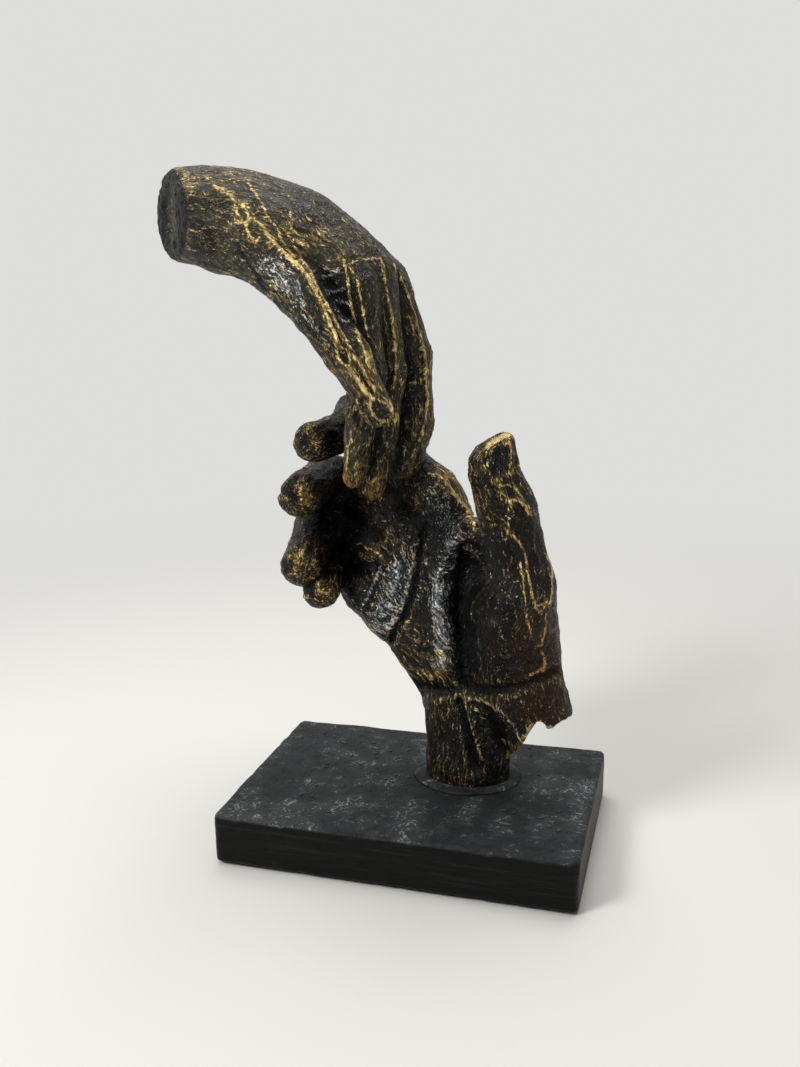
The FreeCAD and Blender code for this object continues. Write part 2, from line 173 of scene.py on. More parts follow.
# Upper hand, a left hand, measured in the same way from the tip of its middle finger
upperFinger = dict(lowerFinger, across=(0.0, 1.0, 0.0), waist=0.05)
upperHand = {
    "anchor": foot + np.array((-0.36, -0.115, 1.30)) * lowerHand["palmLength"],
    "palmLength": 100 * mm, "pitch": 0.72 * mm, "quickPitch": 1.3 * mm,
    "meltDigits": 1.2 * mm, "meltPalm": 6.0 * mm,
    # the second base sets how much silvery paint the whole hand takes, which stands for painted glints of
    # light
    "goldBase": -0.03, "silverGlintBase": -0.05,
    "limbs": {
        "palm": {
            "half": (27.0 * mm, 17.0 * mm), "across": (0.0, 1.0, 0.0), "eased": 2, "palm": True,
            "stations": (
                (-1.06, 0.06, 1.10, 0.68, 0.88), (-0.95, 0.06, 1.107, 0.74, 0.97),
                (-0.82, 0.06, 1.105, 0.80, 1.08), (-0.62, 0.06, 1.083, 0.86, 1.16),
                (-0.42, 0.065, 1.035, 0.96, 1.13), (-0.22, 0.08, 0.95, 1.04, 0.98),
                (-0.05, 0.09, 0.82, 1.00, 0.70), (0.0, 0.09, 0.66, 0.80, 0.40))},
        "index": dict(upperFinger, nail=(-0.6, 0.8), stations=(
            (-0.42, -0.02, 1.00, 1.30, 1.50), (-0.23, -0.07, 0.965, 1.36, 1.56),
            (-0.03, -0.11, 0.78, 1.14, 1.16), (0.025, -0.12, 0.475, 0.94, 0.94),
            (-0.015, -0.12, 0.24, 0.74, 0.72), (-0.045, -0.115, 0.06, 0.56, 0.52))),
        "middle": dict(upperFinger, nail=(-0.5, 0.9), stations=(
            (-0.46, 0.06, 1.03, 1.30, 1.60), (-0.28, 0.03, 1.03, 1.40, 1.60),
            (0.01, 0.03, 0.825, 1.13, 1.15), (0.06, 0.03, 0.475, 0.97, 0.99),
            (0.04, 0.01, 0.225, 0.78, 0.80), (0.0, -0.01, -0.01, 0.56, 0.54))),
        "ring": dict(upperFinger, nail=(0.0, 1.0), stations=(
            (-0.50, 0.13, 1.03, 1.30, 1.55), (-0.35, 0.14, 1.045, 1.40, 1.55),
            (0.03, 0.17, 0.81, 1.10, 1.12), (0.125, 0.17, 0.52, 1.00, 1.04), (0.135, 0.16, 0.24, 0.92, 0.98),
            (0.105, 0.14, 0.08, 0.80, 0.84))),
        "little": dict(upperFinger, nail=(0.1, 1.0), stations=(
            (-0.56, 0.18, 1.03, 1.20, 1.35), (-0.43, 0.23, 1.04, 1.30, 1.40),
            (-0.02, 0.29, 0.755, 1.00, 1.04), (0.06, 0.285, 0.50, 0.90, 0.92),
            (0.06, 0.265, 0.28, 0.83, 0.85), (0.035, 0.245, 0.13, 0.65, 0.66))),
        "thumb": {
            "half": (8.8 * mm, 9.6 * mm), "across": (0.0, 1.0, 0.0), "waist": 0.04,
            "nail": (-0.9, 0.3), "back": (-0.8, 0.6),
            "stations": (
                (-0.86, 0.01, 1.08, 0.80, 0.80), (-0.60, -0.02, 1.005, 1.20, 1.36),
                (-0.40, -0.11, 0.94, 1.30, 1.26), (-0.17, -0.22, 0.765, 1.18, 1.04),
                (0.0, -0.27, 0.55, 0.95, 0.88), (0.115, -0.27, 0.345, 0.70, 0.60))},
    },
    "stumpPlace": (-0.885, 0.06, 1.09), "stumpWay": (-0.76, -0.65, 0.02),
    "dishRadius": 13.0 * mm, "dishDepth": 2.5 * mm, "cutMelt": 4.0 * mm,
    "rubbed": ((0.8, ((2, 0.25, 0.0),)),),      # the fingertips
}


# a smooth run of stations through the given ones
def eased(stations, extra):
    given = np.array(stations, float)
    ends = np.concatenate((given[:1], given, given[-1:]))
    smooth = []
    for before, start, stop, after in zip(ends, ends[1:], ends[2:], ends[3:]):
        for step in range(extra + 1):
            t = step / (extra + 1)
            smooth.append(start + 0.5 * t * (stop - before + t * (
                2 * before - 5 * start + 4 * stop - after + t * (3 * (start - stop) + after - before))))
    return smooth + [given[-1]]


# a limb's straight pieces, each with its start, way, length, cross ways and half sizes at both ends
def bonesOf(hand, limb):
    stations = np.array(eased(limb["stations"], limb.get("eased", 0)))
    places = hand["anchor"] + stations[:, :3] * hand["palmLength"]
    halves = stations[:, 3:] * np.array(limb["half"])
    ways = [unit(after - before) for before, after in zip(places[:-1], places[1:])]
    sides = []
    for here in range(len(places)):
        way = unit(ways[max(here - 1, 0)] + ways[min(here, len(ways) - 1)])
        sides.append(unit(np.array(limb["across"]) - way * way.dot(limb["across"])))
    bones, run = [], 0.0
    for here, way in enumerate(ways):
        length = float(np.linalg.norm(places[here + 1] - places[here]))
        bones.append({"start": places[here].tolist(), "way": way.tolist(), "length": length, "run": run,
                      "sides": (sides[here].tolist(), sides[here + 1].tolist()),
                      "halves": (halves[here].tolist(), halves[here + 1].tolist()),
                      "waist": limb.get("waist", 0.0) if length > 2 * max(halves[here]) else 0.0})
        run += length
    return bones


# signed distance to one bone's oval body, and where the point lies along and across it
def boneField(bone, x, y, z):
    way, length = bone["way"], bone["length"]
    dx, dy, dz = x - bone["start"][0], y - bone["start"][1], z - bone["start"][2]
    along = dx * way[0] + dy * way[1] + dz * way[2]
    t = np.clip(along / length, 0.0, 1.0)
    s = along - t * length
    sx, sy, sz = (a + t * (b - a) for a, b in zip(*bone["sides"]))
    u = dx * sx + dy * sy + dz * sz - t * length * (way[0] * sx + way[1] * sy + way[2] * sz)
    ux, uy, uz = way[1] * sz - way[2] * sy, way[2] * sx - way[0] * sz, way[0] * sy - way[1] * sx
    v = dx * ux + dy * uy + dz * uz
    swell = 1.0 - bone["waist"] * np.sin(math.pi * t) ** 2
    w, h = ((a + t * (b - a)) * swell for a, b in zip(*bone["halves"]))
    r = np.minimum(w, h)
    reach = np.sqrt((u / w) ** 2 + (v / h) ** 2 + (s / r) ** 2)
    steep = np.sqrt((u / w ** 2) ** 2 + (v / h ** 2) ** 2 + (s / r ** 2) ** 2)
    return reach * (reach - 1.0) / (steep + 1e-3), bone["run"] + along, u, v


# signed distance to a plane whose place is given in shares of the palm's length
def planeField(hand, placeShares, way, x, y, z):
    place = (hand["anchor"] + np.array(placeShares) * hand["palmLength"]).tolist()
    way = unit(way).tolist()
    return (x - place[0]) * way[0] + (y - place[1]) * way[1] + (z - place[2]) * way[2]


# the cuff is kept above a wavy hem or behind the line where it falls away
def hemField(hand, x, y, z):
    height, sizeX, sizeY = hand["hemWave"]
    wave = height * np.sin(x / sizeX + 0.8) * np.cos(y / sizeY)
    level = planeField(hand, hand["hemPlace"], hand["hemWay"], x, y, z) + wave
    fall = planeField(hand, hand["hemPlace"], hand["hemFall"], x, y, z) + wave
    return smoothLeast(level, fall, melts["hemBend"])


# signed distance to one limb, with its hem or its slice cut
def limbField(hand, limb, x, y, z):
    total = None
    for bone in limb["bones"]:
        away = boneField(bone, x, y, z)[0]
        total = away if total is None else smoothLeast(total, away, melts["bones"])
    if limb.get("hem"):
        total = -smoothLeast(-total, -hemField(hand, x, y, z), melts["hem"])
    if limb.get("sliced"):
        pastSlice = planeField(hand, hand["tipPlace"], hand["tipWay"], x, y, z)
        total = -smoothLeast(-total, -pastSlice, melts["slice"])
    return total


# the whole hand's field on a grid, each limb worked out only near itself
def handGrid(hand, pitch, margin):
    for limb in hand["limbs"].values():
        limb["bones"] = bonesOf(hand, limb)
        ends = hand["anchor"] + np.array(limb["stations"])[:, :3] * hand["palmLength"]
        reach = max(max(bone["halves"][0] + bone["halves"][1]) for bone in limb["bones"]) + margin
        limb["low"], limb["high"] = np.min(ends, 0) - reach, np.max(ends, 0) + reach
    low = np.min([limb["low"] for limb in hand["limbs"].values()], 0)
    high = np.max([limb["high"] for limb in hand["limbs"].values()], 0)
    counts = np.ceil((high - low) / pitch).astype(int) + 1
    palm = np.full(counts, margin, np.float32)
    digits = palm.copy()
    for limb in hand["limbs"].values():
        first = ((limb["low"] - low) / pitch).astype(int)
        last = np.minimum(((limb["high"] - low) / pitch).astype(int) + 2, counts)
        part = tuple(slice(a, b) for a, b in zip(first, last))
        x, y, z = (axis.astype(np.float32) for axis in np.ix_(
            *(low[n] + pitch * np.arange(first[n], last[n]) for n in range(3))))
        near = limbField(hand, limb, x, y, z)
        if limb.get("palm"):
            palm[part] = smoothLeast(palm[part], near, melts["palms"])
        else:
            digits[part] = smoothLeast(digits[part], near, hand["meltDigits"])
    return {"low": low, "pitch": pitch, "field": smoothLeast(palm, digits, hand["meltPalm"])}


# a grid's x, y and z, shaped so that they spread over it
def gridAxes(grid):
    return np.ix_(*(low + grid["pitch"] * np.arange(count)
                    for low, count in zip(grid["low"], grid["field"].shape)))


# the grid's value at free points, mixed from the eight corners round each
def sampled(grid, points):
    share = (points - grid["low"]) / grid["pitch"]
    share = np.clip(share, 0, np.array(grid["field"].shape) - 1.001)
    base = share.astype(int)
    rest = share - base
    total = 0.0
    for step in cubeCorners:
        weight = np.prod(np.where(step, rest, 1 - rest), axis=1)
        at = base + step
        total = total + weight * grid["field"][at[:, 0], at[:, 1], at[:, 2]]
    return total


# a closed skin of quads where the field is zero, one corner in each cell that the skin passes
def surfaceNet(grid):
    field, pitch = grid["field"], grid["pitch"]
    inside = field < 0
    cells = tuple(n - 1 for n in field.shape)
    count = np.zeros(cells, np.int8)
    for step in cubeCorners:
        count += inside[tuple(slice(a, a + n) for a, n in zip(step, cells))]
    where = np.nonzero((count > 0) & (count < 8))
    number = np.full(cells, -1, np.int32)
    number[where] = np.arange(len(where[0]))
    at = np.stack(where, 1)
    total, weight = np.zeros((len(at), 3)), np.zeros(len(at))
    for axis in range(3):
        others = [n for n in range(3) if n != axis]
        for first in (0, 1):
            for second in (0, 1):
                near = at.copy()
                near[:, others[0]] += first
                near[:, others[1]] += second
                far = near.copy()
                far[:, axis] += 1
                a = field[near[:, 0], near[:, 1], near[:, 2]]
                b = field[far[:, 0], far[:, 1], far[:, 2]]
                crossed = (a < 0) != (b < 0)
                spot = near.astype(float)
                spot[:, axis] += np.where(crossed, a / np.where(crossed, a - b, 1.0), 0.0)
                total += spot * crossed[:, None]
                weight += crossed
    corners = grid["low"] + pitch * total / weight[:, None]
    quads = []
    for axis in range(3):
        b, c = (axis + 1) % 3, (axis + 2) % 3
        ahead = np.roll(inside, -1, axis)
        changed = inside != ahead
        changed[tuple(slice(-1, None) if n == axis else slice(None) for n in range(3))] = False
        edge = np.stack(np.nonzero(changed), 1)
        leaving = inside[edge[:, 0], edge[:, 1], edge[:, 2]]
        around = []
        for stepB, stepC in ((-1, -1), (0, -1), (0, 0), (-1, 0)):
            cell = edge.copy()
            cell[:, b] += stepB
            cell[:, c] += stepC
            around.append(number[cell[:, 0], cell[:, 1], cell[:, 2]])
        faces = np.stack(around, 1)
        faces[~leaving] = faces[~leaving][:, ::-1]
        quads.append(faces)
    return corners, np.concatenate(quads)


def neighbourMean(corners, quads, values):
    first = quads.ravel()
    second = np.roll(quads, -1, 1).ravel()
    ends = np.concatenate((first, second))
    others = np.concatenate((second, first))
    count = np.bincount(ends, minlength=len(corners))
    sums = [np.bincount(ends, part[others], len(corners)) for part in values.T]
    return np.stack(sums, 1) / count[:, None]


def cornerNormals(corners, quads):
    across = corners[quads[:, 2]] - corners[quads[:, 0]]
    other = corners[quads[:, 3]] - corners[quads[:, 1]]
    facing = np.cross(across, other)
    total = np.stack([np.bincount(quads.ravel(), np.repeat(part, 4), len(corners)) for part in facing.T], 1)
    return total / np.maximum(np.linalg.norm(total, axis=1), 1e-12)[:, None]


# evens out a skin's corners, then puts them back where the field is zero
def relaxed(corners, quads, grid, rounds=3):
    for turn in range(rounds):
        corners = corners + 0.6 * (neighbourMean(corners, quads, corners) - corners)
    return corners - cornerNormals(corners, quads) * sampled(grid, corners)[:, None]


mixers = np.array((73856093, 19349663, 83492791))   # large primes that scatter a lattice point's number


# smooth noise from -1 to 1 on a lattice of that size, with finer octaves laid over it
def softNoise(points, size, octaves=2, seed=0):
    total, height = np.zeros(len(points)), 1.0
    for octave in range(octaves):
        place = points / size + 37.0
        base = np.floor(place).astype(np.int64)
        rest = place - base
        rest = rest * rest * (3.0 - 2.0 * rest)
        value = np.zeros(len(points))
        for step in cubeCorners:
            code = np.bitwise_xor.reduce((base + step) * mixers, axis=1) ^ (seed * 2654435761)
            code = (code ^ (code >> 13)) * 1274126177 & 0xffffffff
            share = np.prod(np.where(step, rest, 1.0 - rest), axis=1)
            value += share * ((code ^ (code >> 16)) & 0xffff) / 32767.5
        total += height * (value - 1.0)
        size, height, seed = size / 2.0, height / 2.0, seed + 1
    return total


# Marks read off the photograph. Each has its half width and height in mm, how much gold paint lies on it, how
# much silvery paint lies on it to stand for the glints and sheen of light there, and the points that it runs
# through, in the photograph's pixels. Marks named Sheen are painted highlights, and marks named Shade take
# gold away as painted shade.
photoScale = 0.42 * mm   # size of one of those pixels on the hands
upperMarks = {
    "thumbGroove": (1.0, -0.7, -0.1, 0, ((306, 275), (320, 300), (333, 325), (345, 348), (358, 368),
        (370, 388))),
    "thumbRidge": (1.2, 1.3, 1.2, 0, ((262, 226), (270, 238), (280, 250), (292, 262), (301, 270), (308, 278),
        (316, 293), (325, 311), (334, 331), (338, 343))),
    "thumbSecondRidge": (1.0, 1.0, 0.8, 0, ((301, 262), (309, 270), (314, 280), (322, 296), (331, 312),
        (340, 328), (347, 342), (355, 356), (363, 372), (372, 388), (380, 396))),
    "thumbKnuckleLeft": (0.8, 0.4, 0.8, 0, ((338, 343), (336, 350), (338, 358), (344, 364), (350, 369))),
    "thumbKnuckleRight": (0.8, 0.4, 0.8, 0, ((340, 346), (346, 349), (350, 356), (350, 364))),
    "thumbKnuckleDip": (1.6, -0.6, -0.6, 0, ((341, 352), (345, 361))),
    "thumbLastBone": (1.5, 0.5, 0.9, 0, ((350, 369), (358, 381), (366, 392), (372, 399))),
    "thumbnailLeft": (0.8, 0.5, 1.0, 0, ((371, 400), (371, 409), (375, 416), (381, 421), (387, 421))),
    "thumbnailRight": (0.8, 0.4, 0.9, 0, ((374, 399), (381, 401), (387, 406), (391, 412), (392, 417))),
    "thumbnailPlate": (2.0, -0.3, -0.7, 0.1, ((377, 405), (383, 414))),
    "thumbTip": (1.3, 0.2, 0.8, 0, ((388, 403), (393, 409), (397, 415), (397, 420), (391, 423))),
    "indexRidge": (0.8, 1.0, 0.9, 0, ((343, 262), (346, 270), (348, 282), (349, 292), (351, 305), (354, 317),
        (357, 330), (360, 342), (364, 352), (368, 360))),
    "indexKnob": (1.7, 0.6, 1.0, 0, ((366, 355), (369, 368))),
    "indexSecondRidge": (0.7, 0.35, 0.55, 0, ((348, 266), (354, 274), (358, 284), (360, 296), (363, 310),
        (366, 325), (368, 340), (370, 352), (373, 364), (374, 376))),
    "middleRidge": (0.8, 1.0, 0.65, 0, ((380, 260), (383, 268), (384, 280), (386, 295), (389, 310),
        (392, 325), (394, 340), (395, 355), (395, 370), (393, 388))),
    "ringRidge": (0.7, 0.9, 0.6, 0, ((393, 265), (398, 272), (402, 283), (407, 295), (411, 308), (415, 320),
        (419, 335), (423, 348), (425, 360), (426, 372))),
    "outerRidge": (0.9, 0.4, 0.8, 0, ((425, 372), (426, 385), (427, 400), (426, 415), (423, 428),
        (420, 440))),
    "knuckleRow": (0.8, 0.4, 0.45, 0, ((343, 262), (350, 264), (357, 259), (365, 260), (372, 259),
        (380, 260))),
    "tendonOne": (0.7, 0.35, 0.6, 0, ((248, 183), (256, 195), (263, 205), (267, 216), (272, 223), (277, 226),
        (280, 236), (288, 250), (295, 259))),
    "tendonTwo": (0.6, 0.3, 0.5, 0, ((290, 210), (291, 220), (287, 226), (289, 236), (295, 247),
        (302, 257))),
    "wristVein": (1.0, 0.5, 0.9, 0, ((214, 186), (222, 190), (231, 196), (235, 202), (236, 208),
        (238, 215))),
    "wristVeinAcross": (0.7, 0.3, 0.7, 0, ((236, 203), (244, 206), (250, 209), (254, 216), (256, 221),
        (263, 227))),
    "wristVeinLow": (0.7, 0.3, 0.6, 0, ((230, 224), (239, 223), (248, 222), (256, 222))),
    "wristLoop": (1.2, 0.4, 0.9, 0, ((247, 210), (249, 218), (247, 228), (250, 237), (255, 242),
        (259, 239))),
    "wristPatch": (3.4, 0.2, 0.28, 0.1, ((230, 228), (236, 234))),
    "stumpPatch": (5.0, 0.2, 0.18, 0.3, ((184, 184), (192, 186))),
    "backPatch": (3.4, 0.2, 0.30, 0.1, ((304, 246), (312, 243))),
    "backPatchHigh": (3.0, 0.2, 0.25, 0.1, ((316, 231), (322, 230))),
    "hollow": (5.0, -1.4, -0.4, 0.15, ((331, 282), (339, 300), (348, 322))),
    "hollowCreaseOne": (0.6, 0.5, 0.1, 0.9, ((325, 268), (335, 271), (345, 267))),
    "hollowCreaseTwo": (0.6, 0.5, 0.1, 0.9, ((324, 276), (334, 274), (343, 272))),
    "hollowCreaseThree": (0.6, 0.5, 0.0, 0.9, ((328, 289), (336, 291), (348, 287))),
    "hollowCreaseFour": (0.6, 0.4, 0.0, 0.7, ((339, 299), (345, 303), (350, 305))),
    "hollowCreaseFive": (0.6, 0.5, 0.1, 0.8, ((340, 316), (347, 321), (353, 318))),
    "thumbSideLine": (0.6, 0.3, 0.0, 0.8, ((297, 281), (299, 291), (301, 300), (303, 309))),
    "thumbSideLineLow": (0.6, 0.3, 0.0, 0.8, ((302, 314), (312, 325), (320, 336), (328, 346))),
    "ballPatch": (4.4, 0.2, 0.0, 0.6, ((280, 262), (290, 280), (296, 300))),
    "ballPatchLow": (3.4, 0.2, 0.0, 0.5, ((262, 262), (272, 276), (282, 288))),
    "wristFold": (0.8, -0.5, -0.3, 0, ((236, 243), (241, 255), (248, 263), (258, 276), (268, 292))),
    "indexTipLeft": (0.7, 0.3, 0.4, 0, ((349, 440), (348, 455), (346, 468), (344, 478), (345, 487))),
    "indexTipNail": (1.8, 0.1, 0.14, 0, ((355, 473), (355, 487))),
    "middleTipLeft": (0.7, 0.3, 0.5, 0, ((369, 476), (366, 486), (363, 495), (362, 501), (367, 505),
        (374, 506))),
    "middleTipNail": (1.8, 0.1, 0.14, 0, ((378, 478), (376, 490), (374, 502))),
    "underThumbCrease": (0.7, -0.6, -0.3, 0, ((355, 415), (357, 424), (363, 431), (372, 433))),
}
lowerMarks = {
    "indexTip": (3.6, 0.3, 0.46, 0, ((309, 430), (317, 440))),
    "indexTipNail": (1.8, -0.4, -0.8, 0, ((302, 436), (303, 442))),
    "middleTip": (4.0, 0.3, 0.46, 0, ((303, 490), (309, 499))),
    "middleTipNail": (1.9, -0.4, -0.8, 0, ((291, 492), (294, 497))),
    "ringTip": (4.2, 0.3, 0.54, 0, ((300, 560), (312, 564))),
    "ringTipLow": (2.6, 0.2, 0.3, 0, ((294, 576), (312, 578))),
    "ringTipNail": (1.8, -0.3, -0.7, 0, ((286, 562), (286, 572))),
    "littleTip": (3.0, 0.3, 0.42, 0, ((321, 588), (328, 594))),
    "littleTipNail": (1.8, -0.4, -0.8, 0, ((311, 588), (313, 596))),
    "baseRidge": (1.0, 0.5, 0.45, 0, ((356, 545), (363, 544), (368, 549), (375, 551), (383, 556))),
    "palmTopRidge": (1.8, 0.4, 0.16, 0, ((402, 516), (394, 529), (386, 540), (378, 550))),
    "knuckleSwell": (5.5, 2.4, 0.0, 0, ((447, 484), (460, 502), (472, 520))),
    "knuckleEdge": (1.0, 0.4, 0.85, 0, ((435, 474), (443, 484), (450, 494), (457, 504), (464, 514),
        (471, 523), (478, 532))),
    "knucklePatch": (4.4, 0.2, 0.46, 0.20, ((440, 470), (454, 488), (468, 510))),
    "knuckleUnderSheen": (5.0, 0.3, 0.05, 0.48, ((434, 492), (444, 512), (454, 532))),
    "outerWash": (7.0, 0.0, 0.22, 0.12, ((384, 562), (370, 598), (362, 628))),
    "heelWash": (5.0, 0.0, 0.24, 0.0, ((380, 640), (410, 655), (440, 668))),
    "cuffShade": (11.0, 0.0, -0.17, 0, ((450, 745), (500, 725), (550, 705))),
    "thenarShade": (8.0, 0.0, -0.12, 0, ((500, 560), (505, 600), (508, 650))),
    "mainCrease": (1.2, -2.3, -0.8, 0, ((425, 525), (421, 545), (418, 565), (415, 585), (411, 600),
        (404, 616), (396, 630), (390, 643))),
    "mainCreaseLip": (0.7, 0.4, 0.1, 0.7, ((419, 540), (415, 560), (411, 580), (406, 598), (399, 614),
        (391, 628))),
    "sideCrease": (0.6, -0.5, -0.2, 0, ((384, 568), (379, 583), (373, 598), (366, 612))),
    "sideCreaseLip": (0.6, 0.3, 0.0, 0.7, ((380, 566), (375, 581), (369, 596), (362, 608))),
    "valley": (3.2, -4.2, -0.8, 0, ((466, 548), (461, 575), (459, 600), (460, 630), (462, 655), (464, 680))),
    "valleyWide": (6.0, -1.6, -0.3, 0, ((475, 550), (469, 580), (468, 620), (470, 665))),
    "middleBand": (4.4, 2.8, 0.0, 0.48, ((452, 548), (440, 575), (437, 605), (442, 635), (443, 662))),
    "middleSheen": (3.0, 0.3, 0.1, 0.55, ((437, 590), (441, 620), (443, 640), (442, 662))),
    "outerBand": (7.5, 3.0, 0.14, 0.36, ((402, 555), (394, 585), (384, 618))),
    "outerSheen": (4.0, 0.2, 0.0, 0.48, ((402, 568), (395, 595), (384, 625))),
    "thenarMass": (9.0, 2.2, 0.0, 0, ((503, 585), (508, 615), (512, 645))),
    "knuckleMass": (2.6, 1.2, 0.1, 0, ((362, 540), (374, 543), (383, 547))),
    "knuckleUnder": (2.4, -2.0, -0.6, 0, ((350, 560), (362, 567), (376, 566))),
    "heelUnder": (2.4, -1.8, -0.4, 0, ((398, 676), (416, 688), (436, 692), (456, 690))),
    "cuffFold": (1.6, 1.2, 0.1, 0.15, ((468, 697), (486, 700), (503, 710), (516, 726), (523, 744))),
    "leftStrap": (3.6, 1.1, 0.15, 0, ((436, 702), (441, 732), (446, 764))),
    "middleStrap": (3.6, 1.3, 0.0, 0.1, ((480, 708), (489, 735), (497, 762))),
    "heelEdge": (1.8, 0.8, 0.32, 0, ((372, 646), (386, 656), (401, 664), (418, 672), (433, 677),
        (445, 673))),
    "thumbTip": (1.6, 0.3, 1.2, 0, ((487, 447), (492, 443), (500, 438), (508, 434))),
    "thumbRightEdge": (1.0, 0.2, 0.6, 0, ((508, 437), (510, 450), (511, 462), (509, 472))),
    "thumbnailLeft": (0.6, 0.3, 0.3, 0.2, ((486, 452), (487, 462), (489, 472), (492, 481))),
    "thumbnailPlate": (2.6, -0.3, -0.5, 0, ((497, 453), (498, 470))),
    "thumbSideRidge": (0.8, 0.4, 0.5, 0, ((493, 481), (499, 488), (504, 495), (508, 503), (509, 516),
        (509, 530))),
    "thumbJoint": (1.1, 0.4, 0.9, 0, ((508, 500), (514, 500), (520, 502), (526, 507), (529, 514))),
    "thumbJointHigh": (0.8, 0.3, 0.6, 0, ((500, 486), (508, 485), (516, 489), (522, 498))),
    "thumbLong": (0.9, 0.5, 0.75, 0, ((509, 532), (515, 537), (519, 543), (523, 549), (526, 560), (527, 572),
        (529, 582), (531, 592), (533, 598))),
    "thumbLongLeft": (0.7, 0.3, 0.7, 0, ((520, 562), (522, 576), (524, 590), (525, 605), (527, 620),
        (531, 632))),
    "thumbRightLong": (0.9, 0.3, 0.8, 0, ((546, 556), (551, 564), (552, 576), (552, 590), (550, 603))),
    "thumbLoop": (0.7, 0.3, 0.8, 0, ((533, 600), (535, 607), (539, 611), (543, 607), (547, 602))),
    "thumbLoopLow": (0.6, 0.3, 0.7, 0, ((545, 612), (545, 632), (541, 645), (535, 645))),
    "thumbFoot": (1.2, 0.3, 0.7, 0, ((541, 651), (544, 660), (543, 671))),
    "thumbRoot": (0.8, 0.3, 0.8, 0, ((530, 675), (535, 673), (541, 668))),
    "wristCrease": (1.7, -2.0, -0.5, 0, ((462, 684), (480, 690), (500, 691), (520, 687), (540, 679),
        (556, 670))),
    "hem": (0.9, 0.3, 1.2, 0, ((570, 721), (565, 727), (556, 729), (546, 726), (540, 722), (532, 723),
        (528, 729), (527, 738), (525, 746), (519, 751), (512, 754), (507, 757))),
    "hemLow": (0.8, 0.3, 0.9, 0, ((503, 738), (508, 745), (508, 753))),
    "footGroove": (2.0, -3.2, -0.6, 0, ((459, 703), (463, 718), (467, 735), (471, 752), (475, 768))),
    "footRidge": (0.7, 0.5, 0.5, 0.2, ((464, 702), (469, 718), (473, 733), (478, 748), (483, 760))),
    "footSecondRidge": (0.8, 0.4, 0.0, 0.4, ((497, 708), (505, 720), (514, 731), (523, 740))),
}


# distance from each place in the photograph to a line of points, in pixels
def nearLine(x, y, line):
    best = np.full(len(x), 1e9)
    for (ax, ay), (bx, by) in zip(line[:-1], line[1:]):
        dx, dy = bx - ax, by - ay
        t = np.clip(((x - ax) * dx + (y - ay) * dy) / (dx * dx + dy * dy), 0, 1)
        best = np.minimum(best, (x - ax - t * dx) ** 2 + (y - ay - t * dy) ** 2)
    return np.sqrt(best)


# how the marks are painted: a mark up to that wide is a gold line, whose edge lies at that share of its half
# width, with thinner gold round it; what lies deeper than that behind another part isn't seen
brush = {"widestLine": 1.7, "edgeShare": 0.46, "haloWidth": 2.6, "haloGold": 0.28, "hiddenDepth": 5 * mm,
         "tile": 3}


# each corner that the photograph's camera sees is raised or cut, and painted, by the marks near it
def markHand(skin, marks):
    x, y, depth = toPhoto(skin["corners"])
    facing = -(skin["normals"] @ viewAxes()[2])
    tile = (x / brush["tile"]).astype(int) * 1000 + (y / brush["tile"]).astype(int)
    order, place = np.unique(tile, return_inverse=True)
    nearest = np.full(len(order), 1e9)
    np.minimum.at(nearest, place, depth)
    seen = ramp(facing, 0.0, 0.25) * (depth < nearest[place] + brush["hiddenDepth"])
    for halfWidth, height, gold, silverGlint, line in marks.values():
        wide = halfWidth * mm / photoScale
        low, high = np.min(line, 0) - 3 * wide, np.max(line, 0) + 3 * wide
        close = np.nonzero((seen > 0) & (x > low[0]) & (x < high[0]) & (y > low[1]) & (y < high[1]))[0]
        if not len(close):
            continue
        away = nearLine(x[close], y[close], line)
        amount = np.exp(-(away / wide) ** 2) * seen[close]
        skin["lift"][close] += amount * height * mm
        # the silvery share paints the highlights and glints of light seen on the mark
        skin["silverGlint"][close] += amount * silverGlint
        if gold > 0 and halfWidth <= brush["widestLine"]:
            edge = brush["edgeShare"] * halfWidth * gold
            reach = away * photoScale / mm - edge + 3.0 * (1.0 - seen[close])
            skin["line"][close] = np.minimum(skin["line"][close], reach)
            halo = np.exp(-(away / (wide * brush["haloWidth"])) ** 2) * brush["haloGold"]
            skin["gold"][close] += halo * gold * seen[close]
        else:
            skin["gold"][close] += amount * gold


# Relief on each limb. Tendons and knuckles on the back: height and half width, and the spans that keep them
# there. Nails: half sizes and distance from the end as shares of the tip's radius, how square they are, and
# where the sunk rim and the raised fold round it lie. Joint creases: places along the limb in mm, with the
# share of the depth there. "gold" is what each takes or loses, "owned" how near a limb's own skin lies to it.
limbRelief = {
    "tendon": (0.9 * mm, 1.5 * mm), "tendonSpan": (2 * mm, -8 * mm), "knuckle": (1.3 * mm, 6 * mm),
    "rear": (1 * mm, 4 * mm), "rearNear": (6 * mm, 2.5 * mm), "backGold": 0.26,
    "nail": {"wide": 0.78, "long": 0.95, "back": 0.15, "square": 2.6, "rim": (1.0, 0.35), "fold": (2.1, 0.8),
             "height": 0.35 * mm, "gold": 0.25},
    "crease": {"places": ((-2.3, 0.5), (0.0, 1.0), (2.1, 0.6)), "wide": 0.75 * mm, "deep": 0.35 * mm,
               "gold": 0.2, "wobble": 0.5 * mm, "turns": 3.0, "backward": (0.2, 0.8)},
    "fade": 1.5 * mm, "owned": (1.6 * mm, 0.4 * mm),
}


